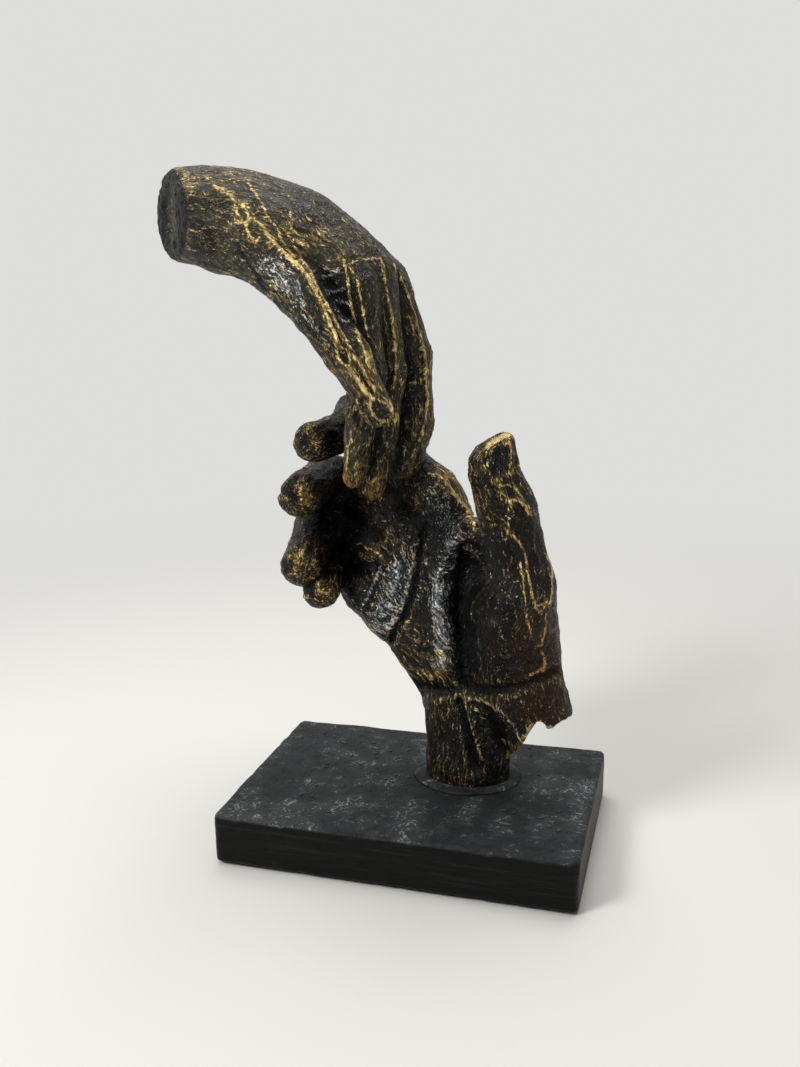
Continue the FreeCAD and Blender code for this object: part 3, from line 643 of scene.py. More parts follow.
# nails, joint creases and the run of each limb, for a hand's corners
def dressLimbs(skin, hand):
    nail, joint = limbRelief["nail"], limbRelief["crease"]
    x, y, z = skin["corners"].T
    weight, lie = np.zeros(len(x)), np.zeros((len(x), 3))
    for limb in hand["limbs"].values():
        best = np.full(len(x), 1.0)
        place = np.zeros((3, len(x)))
        for bone in limb["bones"]:
            away, run, u, v = boneField(bone, x, y, z)
            nearer = away < best
            best = np.where(nearer, away, best)
            place = np.where(nearer, np.stack((run, u, v)), place)
        own = np.exp(-np.maximum(best, 0) / limbRelief["fade"])
        weight += own
        lie += own[:, None] * place.T
        if "nail" not in limb:
            continue
        run, u, v = place
        if hand.get("tendons") and limb["back"] == (0.0, 1.0):
            knuckle = limb["bones"][2]["run"]
            (tendonHeight, tendonWide), (swellHeight, swellWide) = limbRelief["tendon"], limbRelief["knuckle"]
            rear = ramp(v, *limbRelief["rear"]) * ramp(best, *limbRelief["rearNear"])
            tendon = rear * np.exp(-(u / tendonWide) ** 2) * ramp(run - knuckle, *limbRelief["tendonSpan"])
            swell = rear * np.exp(-(u / swellWide) ** 2 - ((run - knuckle) / swellWide) ** 2)
            skin["lift"] += tendonHeight * tendon + swellHeight * swell
            skin["gold"] += limbRelief["backGold"] * (tendon + swell)
        owned = ramp(best, *limbRelief["owned"])
        tip = limb["bones"][-1]
        radius = sum(tip["halves"][1]) / 2
        end = tip["run"] + tip["length"]
        turn = np.arctan2(v, u)
        nailTurn = math.atan2(limb["nail"][1], limb["nail"][0])
        off = np.abs((turn - nailTurn + math.pi) % (2 * math.pi) - math.pi) * radius
        ahead = np.abs(run - end + nail["back"] * radius)
        shape = ((off / (nail["wide"] * radius)) ** nail["square"]
                 + (ahead / (nail["long"] * radius)) ** nail["square"])
        rim, fold = (np.exp(-((shape - at) / width) ** 2) for at, width in (nail["rim"], nail["fold"]))
        skin["lift"] += owned * (fold - rim) * nail["height"]
        skin["gold"] += owned * fold * nail["gold"]
        backTurn = math.atan2(limb["back"][1], limb["back"][0])
        backward = ramp(np.abs(np.cos(turn - backTurn)), *joint["backward"])
        wobble = joint["wobble"] * np.sin(turn * joint["turns"] + limb["bones"][0]["length"] / mm)
        for bone in limb["bones"][2:]:
            for step, deep in joint["places"]:
                away = run - bone["run"] - step * mm + wobble
                crease = owned * deep * backward * np.exp(-(away / joint["wide"]) ** 2)
                skin["lift"] -= crease * joint["deep"]
                skin["gold"] -= crease * joint["gold"]
    skin["lie"] = lie / weight[:, None]


def setAttribute(mesh, name, kind, values):
    layer = mesh.attributes.new(name, kind, "POINT")
    layer.data.foreach_set("vector" if kind == "FLOAT_VECTOR" else "value",
                           np.ascontiguousarray(values, np.float32).ravel())


def meshPiece(name, corners, quads, attributes, material):
    mesh = bpy.data.meshes.new(name)
    mesh.vertices.add(len(corners))
    mesh.vertices.foreach_set("co", corners.astype(np.float32).ravel())
    mesh.loops.add(quads.size)
    mesh.loops.foreach_set("vertex_index", quads.astype(np.int32).ravel())
    mesh.polygons.add(len(quads))
    mesh.polygons.foreach_set("loop_start", np.arange(0, quads.size, 4, dtype=np.int32))
    mesh.update(calc_edges=True)
    mesh.validate()
    mesh.shade_smooth()
    for key, values in attributes.items():
        setAttribute(mesh, key, "FLOAT_VECTOR" if values.ndim == 2 else "FLOAT", values)
    mesh.materials.append(material)
    piece = bpy.data.objects.new(name, mesh)
    bpy.context.scene.collection.objects.link(piece)
    print(name, len(corners), "corners", len(quads), "quads")
    return piece


# colours are written as sRGB hex and turned to linear here
def colour(hexText):
    parts = [int(hexText[n:n + 2], 16) / 255 for n in (1, 3, 5)]
    return [p / 12.92 if p <= 0.04045 else ((p + 0.055) / 1.055) ** 2.4 for p in parts] + [1.0]


# sets a node's inputs to plain values, or links them to other nodes' outputs
def fillInputs(tree, node, inputs):
    for key, value in inputs.items():
        if isinstance(value, bpy.types.NodeSocket):
            tree.links.new(value, node.inputs[key])
        else:
            node.inputs[key].default_value = value


# adds a node and gives the output socket asked for, or the node itself
def addNode(tree, kind, inputs=None, output=0, **settings):
    node = tree.nodes.new(kind)
    for key, value in settings.items():
        setattr(node, key, value)
    fillInputs(tree, node, inputs or {})
    return node if output is None else node.outputs[output]


def newMaterial(name):
    material = bpy.data.materials.new(name)
    material.use_nodes = True
    tree = material.node_tree
    return material, tree, tree.nodes["Principled BSDF"]


rangeInputs = ("From Min", "From Max", "To Min", "To Max")

# Cold patina on fired clay: near-black and half glossy under a clear wax, clouded with a blue-grey bloom and
# rubbed through to brown. Metal paint is dry-brushed over what stands up: pale brass in broken lines, crackle
# and flecks on the ridges, and almost black between them. A dull silvery metal paint, thickest on the palm,
# is painted light: it stands for the glints and sheen on what stands up.
patinaLook = {
    "black": "#080706", "bloom": "#1a1e21", "brown": "#23150b", "olive": "#4a3d20", "amber": "#b97b30",
    # the last pair of colours on the next line is a silvery metal that paints glints and sheen of light
    "brassDark": "#7d5e2a", "brassPale": "#efd491", "silverGlintDark": "#565c60", "silverGlintPale": "#eef1f3",
    "metalShare": 0.4, "gloss": 0.15,
    # noises: size, detail and roughness
    "noises": {"speck": (0.75 * mm, 3.0, 0.7), "flake": (2.1 * mm, 4.0, 0.65), "cloud": (15 * mm, 3.0, 0.5),
               "patch": (26 * mm, 2.0, 0.5)},
    # patterns drawn out along the limb, their sizes along and across it, and how far they bend
    "drawn": {"vein": (13 * mm, 3.4 * mm, 3.4 * mm), "scratch": (6 * mm, 0.75 * mm, 0.75 * mm),
              "crackle": (6.5 * mm, 2.8 * mm, 2.8 * mm)},
    "bendSize": 9 * mm, "bend": 3.0 * mm, "veinWidth": 0.055, "crackWidth": 0.075,
    # the brush went over some broad patches more often than over others
    "patchSpan": (0.35, 0.65, -0.24, 0.16),
    # sums: the crust that catches the brush, the distance to a gold line frayed by it, gold flecks, the
    # painted glints of light in silvery paint, rubbing down to brown, and relief in metres; each has its
    # start and what every layer adds
    "sums": {
        "catch": (-1.9, {"speck": 0.8, "scratch": 2.1, "flake": 0.9}),
        "fray": (0.0, {"line": 1.0, "catch": -1.0}),
        "flecks": (0.0, {"gold": 1.0, "patch": 1.0, "ridge": 0.30, "vein": 0.42, "crackle": 0.45,
                         "hollow": -0.45, "catch": 1.15}),
        "paintedGlint": (-2.4, {"silverGlint": 1.0, "speck": 3.0, "scratch": 1.8, "vein": 0.22, "ridge": 0.22,
                           "crackle": 0.18}),
        "rubbed": (0.0, {"warm": 1.0, "flake": 1.2}),
        "relief": (0.0, {"speck": 0.26 * mm, "scratch": 0.42 * mm, "vein": 0.50 * mm, "crackle": 0.22 * mm}),
    },
    # shares of each paint: the layer that it follows, where it starts and is full, and its least and most
    "shares": {
        "bloom": ("cloud", 0.42, 0.7, 0.0, 0.75), "brown": ("rubbed", 0.9, 1.6, 0.0, 0.85),
        "stroke": ("fray", 0.35, -0.15, 0.0, 1.0), "fleck": ("flecks", 0.46, 1.05, 0.0, 1.0),
        "wash": ("flecks", -0.1, 0.6, 0.0, 0.8), "silverGlint": ("paintedGlint", 0.34, 1.20, 0.0, 1.0),
        "pressed": ("catch", -0.10, 0.50, 0.0, 1.0), "amber": ("warm", 0.2, 0.9, 0.0, 0.55),
    },
    # how far a gold stroke counts as pressed on, and the roughness that the flakes give
    "strokePress": 0.35, "roughness": (0.3, 0.7, 0.30, 0.50),
}


def patinaMaterial(name, look):
    material, tree, shader = newMaterial(name)
    place = addNode(tree, "ShaderNodeTexCoord", None, "Object")
    layers = {key: addNode(tree, "ShaderNodeAttribute", None, "Fac", attribute_name=key)
              for key in ("gold", "silverGlint", "warm", "ridge", "hollow", "line")}
    lie = addNode(tree, "ShaderNodeAttribute", None, "Vector", attribute_name="lie")
    for key, (size, detail, roughness) in look["noises"].items():
        layers[key] = addNode(tree, "ShaderNodeTexNoise", {
            "Vector": place, "Scale": 1 / size, "Detail": detail, "Roughness": roughness})

    # where a point lies on its limb, bent a little so that no line runs straight
    drift = addNode(tree, "ShaderNodeTexNoise", {"Vector": place, "Scale": 1 / look["bendSize"],
                                                 "Detail": 2.0}, "Color")
    drift = addNode(tree, "ShaderNodeVectorMath", {0: drift, 1: (0.5, 0.5, 0.5)}, operation="SUBTRACT")
    bent = addNode(tree, "ShaderNodeVectorMath", {0: drift, 1: [2 * look["bend"]] * 3, 2: lie},
                   operation="MULTIPLY_ADD")
    drawn = {key: addNode(tree, "ShaderNodeVectorMath", {0: bent, 1: [1 / size for size in sizes]},
                          operation="MULTIPLY") for key, sizes in look["drawn"].items()}

    # fine lines where a noise crosses its middle, scratches, and crackle along the edges of small cells
    vein, layers["scratch"] = (
        addNode(tree, "ShaderNodeTexNoise", {"Vector": drawn[key], "Scale": 1.0, "Detail": 3.0,
                                             "Roughness": roughness})
        for key, roughness in (("vein", 0.55), ("scratch", 0.6)))
    vein = addNode(tree, "ShaderNodeMath", {0: vein, 1: 0.5}, operation="SUBTRACT")
    vein = addNode(tree, "ShaderNodeMath", {0: vein}, operation="ABSOLUTE")
    crackle = addNode(tree, "ShaderNodeTexVoronoi", {"Vector": drawn["crackle"], "Scale": 1.0}, "Distance",
                      feature="DISTANCE_TO_EDGE")
    for key, away, reach in (("vein", vein, look["veinWidth"]), ("crackle", crackle, look["crackWidth"])):
        layers[key] = addNode(tree, "ShaderNodeMapRange", {"Value": away, "From Min": reach, "From Max": 0.0},
                              interpolation_type="SMOOTHSTEP")
    layers["patch"], roughness = (
        addNode(tree, "ShaderNodeMapRange", {"Value": layers[key], **dict(zip(rangeInputs, look[span]))})
        for key, span in (("patch", "patchSpan"), ("flake", "roughness")))

    for key, (total, parts) in look["sums"].items():
        for part, amount in parts.items():
            total = addNode(tree, "ShaderNodeMath", {0: layers[part], 1: amount, 2: total},
                            operation="MULTIPLY_ADD")
        layers[key] = total
    shares = {}
    for key, (layer, *span) in look["shares"].items():
        shares[key] = addNode(tree, "ShaderNodeMapRange", {
            "Value": layers[layer], **dict(zip(rangeInputs, span))}, interpolation_type="SMOOTHSTEP")

    # bloom keeps to open places; the brass, and the silvery paint that stands for glints of light, are thin
    # and dirty where they are sparse, pale where pressed on
    openness = addNode(tree, "ShaderNodeMath", {0: 1.0, 1: layers["hollow"]}, operation="SUBTRACT")
    shares["bloom"] = addNode(tree, "ShaderNodeMath", {0: shares["bloom"], 1: openness}, operation="MULTIPLY")
    shares["pressed"] = addNode(tree, "ShaderNodeMath", {
        0: shares["stroke"], 1: look["strokePress"], 2: shares["pressed"]}, operation="MULTIPLY_ADD",
        use_clamp=True)
    shares["gold"] = addNode(tree, "ShaderNodeMath", {0: shares["fleck"], 1: shares["stroke"]},
                             operation="MAXIMUM")
    painted = addNode(tree, "ShaderNodeMath", {0: shares["gold"], 1: shares["silverGlint"]}, operation="MAXIMUM")
    metallic = addNode(tree, "ShaderNodeMath", {0: painted, 1: look["metalShare"]}, operation="MULTIPLY")

    tints = {key: colour(value) for key, value in look.items() if str(value).startswith("#")}
    for result, under, share, over in (
            ("ground", "black", "bloom", "bloom"), ("ground", "ground", "brown", "brown"),
            ("brass", "brassDark", "pressed", "brassPale"), ("brass", "brass", "amber", "amber"),
            # the silvery tint paints highlights and glints of light over the patina
            ("silverGlintTint", "silverGlintDark", "pressed", "silverGlintPale"), ("coat", "ground", "wash", "olive"),
            ("coat", "coat", "silverGlint", "silverGlintTint"), ("coat", "coat", "gold", "brass")):
        tints[result] = addNode(tree, "ShaderNodeMix", {0: shares[share], 6: tints[under], 7: tints[over]}, 2,
                                data_type="RGBA")
    normal = addNode(tree, "ShaderNodeBump", {"Height": layers["relief"], "Strength": 1.0, "Distance": 1.0})
    fillInputs(tree, shader, {"Base Color": tints["coat"], "Metallic": metallic, "Roughness": roughness,
                              "Specular IOR Level": look["gloss"], "Normal": normal})
    return material


# Clay under the paint: lumps and grain, each with its height, size and seed; furrows and wrinkles along the
# limbs, each with its height, its sizes in mm and its seed; how calm the clay is at the hem, and how near it
clay = {
    "lumps": ((0.26 * mm, 15 * mm, 3), (0.12 * mm, 2.6 * mm, 8)),
    "furrow": (0.55 * mm, (17, 4.6, 4.6), 11), "furrowTop": 0.45, "furrowSteep": 1.6, "furrowFloor": 0.9,
    "wrinkle": (0.22 * mm, (8, 1.9, 1.9), 14),
    "bend": 2.0 * mm, "bendSize": 9 * mm, "bendSeeds": (5, 6, 7), "hemCalm": 0.8, "hemNear": 3 * mm,
    "ridgeHeight": 0.35 * mm, "ridgeRounds": 6, "hollowReaches": (4 * mm, 9 * mm, 16 * mm),
}
# Paint at the upper wrist's cut: depths below the cut between which its face begins, the depth and width of
# the worn edge with its gold, and what the face takes of each layer
cutPaint = {
    "face": (1.8 * mm, 0.7 * mm), "edge": (2.4 * mm, 1.0 * mm, 0.12),
    "layers": {"hollow": 0.9, "gold": -0.5, "silverGlint": -0.3},
}


# how far each point is rubbed brown
def rubbedAt(hand, points):
    places = (points - hand["anchor"]).T / hand["palmLength"]
    total = np.zeros(len(points))
    for strength, spans in hand["rubbed"]:
        total += strength * np.prod([ramp(places[axis], low, high) for axis, low, high in spans], axis=0)
    return np.clip(total, 0, 1)


# one hand's skin from its grid: marks, grain of the clay, and what the paint needs to know at each corner
def makeHand(name, hand, grid, other, marks, material):
    corners, quads = surfaceNet(grid)
    corners = relaxed(corners, quads, grid)
    skin = {key: np.zeros(len(corners)) for key in ("lift", "gold", "silverGlint", "hollow")}
    skin["corners"], skin["normals"] = corners, cornerNormals(corners, quads)
    skin["line"] = np.full(len(corners), 4.0)      # distance to the nearest gold line, in mm
    dressLimbs(skin, hand)
    markHand(skin, marks)
    drift = np.stack([softNoise(corners, clay["bendSize"], 1, seed) for seed in clay["bendSeeds"]], 1)
    bent = skin["lie"] + clay["bend"] * drift
    height, sizes, seed = clay["furrow"]
    furrows = clay["furrowSteep"] * np.abs(softNoise(bent / sizes, 1 * mm, 2, seed))
    skin["lift"] += height * (clay["furrowTop"] - np.minimum(furrows, clay["furrowFloor"]))
    height, sizes, seed = clay["wrinkle"]
    skin["lift"] += height * softNoise(bent / sizes, 1 * mm, 2, seed)
    for height, size, seed in clay["lumps"]:
        skin["lift"] += height * softNoise(corners, size, 2, seed)
    if "hemPlace" in hand:
        atHem = hemField(hand, *corners.T)
        skin["lift"] *= 1.0 - clay["hemCalm"] * np.exp(-(atHem / clay["hemNear"]) ** 2)
    if "stumpPlace" in hand:
        below = -planeField(hand, hand["stumpPlace"], hand["stumpWay"], *corners.T)
        deep, wide, gold = cutPaint["edge"]
        skin["gold"] += gold * np.exp(-((below - deep) / wide) ** 2)
        for key, amount in cutPaint["layers"].items():
            skin[key] += amount * ramp(below, *cutPaint["face"])
    for reach in clay["hollowReaches"]:
        probe = corners + skin["normals"] * reach
        clear = np.minimum(sampled(grid, probe), sampled(other, probe))
        skin["hollow"] += np.clip(1.0 - clear / reach, 0.0, 1.5) / 3.0
    moved = corners + skin["normals"] * skin["lift"][:, None]
    smooth = moved
    for turn in range(clay["ridgeRounds"]):
        smooth = neighbourMean(corners, quads, smooth)
    ridge = np.einsum("ij,ij->i", moved - smooth, skin["normals"]) / clay["ridgeHeight"]
    # the silvery layer is painted light: the glints and sheen on the hand
    return meshPiece(name, moved, quads, {
        "gold": skin["gold"] + hand["goldBase"], "silverGlint": skin["silverGlint"] + hand["silverGlintBase"],
        "warm": rubbedAt(hand, moved), "ridge": np.clip(ridge, -1.0, 1.5),
        "hollow": np.clip(skin["hollow"], 0.0, 1.0), "lie": skin["lie"], "line": skin["line"]}, material)


pitchKey = "pitch"
fieldMargin = 14 * mm
lowerGrid, upperGrid = (handGrid(hand, hand[pitchKey], fieldMargin) for hand in (lowerHand, upperHand))
print("hand fields worked out", lowerGrid["field"].shape, upperGrid["field"].shape)


# the upper wrist is cut off along a plane, with a shallow dish in the cut
def cutStump(hand, grid):
    x, y, z = gridAxes(grid)
    way = unit(hand["stumpWay"])
    place = hand["anchor"] + np.array(hand["stumpPlace"]) * hand["palmLength"]
    plane = planeField(hand, hand["stumpPlace"], way, x, y, z)
    radius = (hand["dishRadius"] ** 2 + hand["dishDepth"] ** 2) / (2 * hand["dishDepth"])
    middle = place + way * (radius - hand["dishDepth"])
    ball = np.sqrt((x - middle[0]) ** 2 + (y - middle[1]) ** 2 + (z - middle[2]) ** 2) - radius
    cut = -smoothLeast(-grid["field"], -plane, hand["cutMelt"])
    grid["field"] = np.maximum(cut, -ball).astype(np.float32)


# the lower hand is cut off inside the plinth, and cleared round the upper one
def fitLower(grid, other):
    x, y, z = gridAxes(grid)
    field = np.maximum(grid["field"], lowerHand["anchor"][2] - lowerHand["rootDepth"] - z)
    for shares, halves in lowerHand["bites"]:
        dx, dy, dz = (axis - centre for axis, centre in zip(
            (x, y, z), lowerHand["anchor"] + np.array(shares) * lowerHand["palmLength"]))
        reach = np.sqrt((dx / halves[0]) ** 2 + (dy / halves[1]) ** 2 + (dz / halves[2]) ** 2)
        field = -smoothLeast(-field, (reach - 1.0) * min(halves), melts["bite"])
    points = np.stack([axis.ravel() for axis in np.broadcast_arrays(x, y, z)], 1)
    otherHigh = other["low"] + other["pitch"] * (np.array(other["field"].shape) - 1)
    near = np.nonzero((field.ravel() < 3 * mm) & (points >= other["low"]).all(1)
                      & (points <= otherHigh).all(1))[0]
    flat = field.ravel()
    flat[near] = np.maximum(flat[near], -sampled(other, points[near]))
    grid["field"] = flat.reshape(grid["field"].shape)


cutStump(upperHand, upperGrid)
fitLower(lowerGrid, upperGrid)
upperToneAndSheenLook = dict(patinaLook, bloom="#3a3a35", olive="#685c39")   # paler bloom and olive: a browner tone, and a painted sheen for the light that falls on the upper hand from above
upperPiece = makeHand("upper_hand_skin", upperHand, upperGrid, lowerGrid, upperMarks,
                      patinaMaterial("gold-brushed black patina, upper hand", upperToneAndSheenLook))
lowerPiece = makeHand("lower_hand_skin", lowerHand, lowerGrid, upperGrid, lowerMarks,
                      patinaMaterial("gold-brushed black patina, lower hand", patinaLook))
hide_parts("upper_hand")
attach(upperPiece, "root")
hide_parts("lower_hand")
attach(lowerPiece, "root")
print("hands made")

# Charcoal emulsion brushed on a cast block: the sides stay black with the brush's level streaks, and the top
# is rubbed matt grey and also painted lighter than the sides for the light that falls on it from above, with
# thin chalky curls left by the cloth in patches, and darker places between them
plinthLook = {
    # the near-black of the sides and the grey of the top are partly painted light: the top lit from above,
    # the sides in shade
    "side": "#080808", "streak": "#1f2021", "charcoal": "#292b2c", "chalk": "#a8abac", "dark": "#101011",
    # noises: size, detail, roughness and twist
    "grit": (0.8 * mm, 3.0, 0.6, 0.0), "patch": (15 * mm, 4.0, 0.6, 0.0), "curl": (11 * mm, 3.0, 0.5, 2.2),
    "streakSizes": (34 * mm, 34 * mm, 1.3 * mm), "gloss": 0.12, "patchChalk": 0.12,
    "sideRough": 0.42, "topRough": 0.6,
    # where faces count as the top, and where curls, chalk, dark places and streaks start and are full
    "spans": ((0.3, 0.9), (0.035, 0.0), (0.43, 0.64), (0.40, 0.28, 0.0, 0.6), (0.5, 0.75)),
    "curlRelief": 0.35 * mm, "gritRelief": 0.14 * mm, "streakRelief": 0.30 * mm,
}


def plinthMaterial(name, look):
    material, tree, shader = newMaterial(name)
    place = addNode(tree, "ShaderNodeTexCoord", None, "Object")
    upward = addNode(tree, "ShaderNodeNewGeometry", None, "Normal")
    upward = addNode(tree, "ShaderNodeVectorMath", {0: upward, 1: (0.0, 0.0, 1.0)}, "Value",
                     operation="DOT_PRODUCT")
    grit, patch, curl = (
        addNode(tree, "ShaderNodeTexNoise", {"Vector": place, "Scale": 1 / size, "Detail": detail,
                                             "Roughness": roughness, "Distortion": twist})
        for size, detail, roughness, twist in (look["grit"], look["patch"], look["curl"]))
    streak = addNode(tree, "ShaderNodeVectorMath", {0: place, 1: [1 / size for size in look["streakSizes"]]},
                     operation="MULTIPLY")
    streak = addNode(tree, "ShaderNodeTexNoise", {"Vector": streak, "Scale": 1.0, "Detail": 4.0,
                                                  "Roughness": 0.65})

    # curls are thin bent lines where a twisted noise crosses its middle
    curl = addNode(tree, "ShaderNodeMath", {0: curl, 1: 0.5}, operation="SUBTRACT")
    curl = addNode(tree, "ShaderNodeMath", {0: curl}, operation="ABSOLUTE")
    onTop, curl, dusty, dark, streaky = (
        addNode(tree, "ShaderNodeMapRange", {"Value": layer, **dict(zip(rangeInputs, span))},
                interpolation_type="SMOOTHSTEP")
        for layer, span in zip((upward, curl, patch, patch, streak), look["spans"]))
    chalky = addNode(tree, "ShaderNodeMath", {0: curl, 1: dusty}, operation="MULTIPLY")
    chalky = addNode(tree, "ShaderNodeMath", {0: dusty, 1: look["patchChalk"], 2: chalky},
                     operation="MULTIPLY_ADD")
    broken = addNode(tree, "ShaderNodeMapRange", {"Value": grit, "From Min": 0.35, "From Max": 0.65})
    chalky = addNode(tree, "ShaderNodeMath", {0: broken, 1: chalky}, operation="MULTIPLY")

    tints = {key: colour(value) for key, value in look.items() if str(value).startswith("#")}
    # faces that look up take the top's grey and the rest take the sides' black: a painted lit top and shaded
    # sides over the real coat
    for result, under, share, over in (("top", "charcoal", chalky, "chalk"), ("top", "top", dark, "dark"),
                                       ("side", "side", streaky, "streak"), ("coat", "side", onTop, "top")):
        tints[result] = addNode(tree, "ShaderNodeMix", {0: share, 6: tints[under], 7: tints[over]}, 2,
                                data_type="RGBA")
    topRelief, sideRelief = (
        addNode(tree, "ShaderNodeMath", {0: layer, 1: look[relief]}, operation="MULTIPLY")
        for layer, relief in ((curl, "curlRelief"), (streak, "streakRelief")))
    height = addNode(tree, "ShaderNodeMix", {0: onTop, 2: sideRelief, 3: topRelief})
    height = addNode(tree, "ShaderNodeMath", {0: grit, 1: look["gritRelief"], 2: height},
                     operation="MULTIPLY_ADD")
    normal = addNode(tree, "ShaderNodeBump", {"Height": height, "Strength": 1.0, "Distance": 1.0})
    roughness = addNode(tree, "ShaderNodeMapRange", {"Value": onTop, "To Min": look["sideRough"],
                                                     "To Max": look["topRough"]})
    fillInputs(tree, shader, {"Base Color": tints["coat"], "Roughness": roughness,
                              "Specular IOR Level": look["gloss"], "Normal": normal})
    return material


# Steel: drawn and plain for the dowel, zinc plated, whiter and smoother, for the stud, washer and nut
def steelMaterial(name, tintHex, roughLow, roughHigh, grain=0.6 * mm):
    material, tree, shader = newMaterial(name)
    place = addNode(tree, "ShaderNodeTexCoord", None, "Object")
    drawn = addNode(tree, "ShaderNodeTexNoise", {"Vector": place, "Scale": 1 / grain, "Detail": 3.0})
    roughness = addNode(tree, "ShaderNodeMapRange", {"Value": drawn, "To Min": roughLow, "To Max": roughHigh})
    fillInputs(tree, shader, {"Base Color": colour(tintHex), "Metallic": 1.0, "Roughness": roughness})
    return material


# Black felt: short matted fibres that give no shine and a faint pale fuzz at the edge of sight
def feltMaterial(name, tintHex, fibre, fuzz=0.4 * mm):
    material, tree, shader = newMaterial(name)
    place = addNode(tree, "ShaderNodeTexCoord", None, "Object")
    fibres = addNode(tree, "ShaderNodeTexNoise", {"Vector": place, "Scale": 1 / fibre, "Detail": 5.0,
                                                  "Roughness": 0.75})
    normal = addNode(tree, "ShaderNodeBump", {"Height": fibres, "Strength": 1.0, "Distance": fuzz})
    fillInputs(tree, shader, {"Base Color": colour(tintHex), "Roughness": 0.95, "Sheen Weight": 0.3,
                              "Normal": normal})
    return material


nodeMaterials = {
    "base_felt": feltMaterial("black felt", "#1c1c1d", 0.35 * mm),
    "clasp_dowel": steelMaterial("plain drawn steel", "#a9a9aa", 0.25, 0.4),
    "fixing_stud": steelMaterial("zinc plated steel, stud", "#c4c7cb", 0.22, 0.36),
    "fixing_washer": steelMaterial("zinc plated steel, washer", "#c4c7cb", 0.25, 0.4),
    "fixing_nut": steelMaterial("zinc plated steel, nut", "#c4c7cb", 0.22, 0.36),
}
for nodeName, nodeMaterial in nodeMaterials.items():
    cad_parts[nodeName].data.materials.clear()
    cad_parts[nodeName].data.materials.append(nodeMaterial)


# Cast block: its flat faces sag and lump a little, its edges are rounded by hand and nicked
plinthBlock = {
    "pitch": 1.0 * mm, "corner": 3.2 * mm, "edge": 1.5 * mm, "lump": 0.30 * mm, "lumpSize": 22 * mm,
    "dimple": 0.12 * mm, "dimpleSize": 4 * mm, "nick": 0.5 * mm, "nickSize": 5 * mm,
    "recessSpare": 2.5 * mm, "studSpare": 0.3 * mm, "quickShare": 1.5,
}


def makePlinth(look):
    low, high = (np.array(corner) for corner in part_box("plinth"))
    pitch = look["pitch"] * 1.0
    counts = np.ceil((high - low + 8 * pitch) / pitch).astype(int) + 1
    grid = {"low": low - 4 * pitch, "pitch": pitch, "field": np.zeros(counts, np.float32)}
    x, y, z = gridAxes(grid)
    middle, half = (low + high) / 2, (high - low) / 2
    block = np.abs(x - middle[0]) - half[0]
    for side, radius in ((np.abs(y - middle[1]) - half[1], look["corner"]),
                         (np.abs(z - middle[2]) - half[2], look["edge"])):
        first, second = block + radius, side + radius
        block = (np.hypot(np.maximum(first, 0), np.maximum(second, 0))
                 + np.minimum(np.maximum(first, second), 0) - radius)

    # the socket for the wrist, the stud's hole and the recess for its washer and nut
    washerLow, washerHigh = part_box("fixing_washer")
    studLow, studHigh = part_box("fixing_stud")
    fromFoot = np.hypot(x - foot[0], y - foot[1])
    hole = fromFoot - (studHigh.x - studLow.x) / 2 - look["studSpare"]
    recess = np.maximum(fromFoot - (washerHigh.x - washerLow.x) / 2 - look["recessSpare"], z - washerHigh.z)
    halfX, halfY = lowerHand["limbs"]["wrist"]["half"]
    socket = (np.hypot((x - foot[0]) / halfX, (y - foot[1]) / halfY) - 1.0) * halfY
    socket = np.maximum(socket, foot[2] - lowerHand["rootDepth"] - z)
    grid["field"] = np.maximum(block, -np.minimum(np.minimum(hole, recess), socket)).astype(np.float32)
    corners, quads = surfaceNet(grid)
    corners = relaxed(corners, quads, grid, 1)
    normals = cornerNormals(corners, quads)
    lift = look["lump"] * softNoise(corners, look["lumpSize"], 2, 31)
    lift += look["dimple"] * softNoise(corners, look["dimpleSize"], 2, 35)
    lift *= ramp(corners[:, 2], low[2] + 1 * mm, low[2] + 4 * mm)
    nicks = softNoise(corners, look["nickSize"], 1, 41)
    atEdge = 1.0 - np.max(np.abs(normals), axis=1)
    lift -= look["nick"] * ramp(nicks, 0.35, 0.8) * ramp(atEdge, 0.05, 0.25)
    piece = meshPiece("plinth_block", corners + normals * lift[:, None], quads, {},
                      plinthMaterial("rubbed charcoal paint on the block, painted lighter on top", plinthLook))
    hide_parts("plinth")
    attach(piece, "root")


makePlinth(plinthBlock)


socketKinds = {float: "NodeSocketFloat", int: "NodeSocketInt", tuple: "NodeSocketVector"}


# a node tree with a named input for each value, and those inputs' sockets inside it
def newGrowth(name, inputs):
    tree = bpy.data.node_groups.new(name, "GeometryNodeTree")
    for side in ("OUTPUT", "INPUT"):
        tree.interface.new_socket("Geometry", in_out=side, socket_type="NodeSocketGeometry")
    for key, value in inputs.items():
        tree.interface.new_socket(key, in_out="INPUT", socket_type=socketKinds[type(value)])
    return tree, {key: addNode(tree, "NodeGroupInput", None, key) for key in ("Geometry", *inputs)}


def finishGrowth(tree, shape, material):
    shape = addNode(tree, "GeometryNodeRealizeInstances", {0: shape})
    shape = addNode(tree, "GeometryNodeSetShadeSmooth", {0: shape})
    shape = addNode(tree, "GeometryNodeSetMaterial", {"Geometry": shape, "Material": material})
    addNode(tree, "NodeGroupOutput", {"Geometry": shape}, None)
    return tree


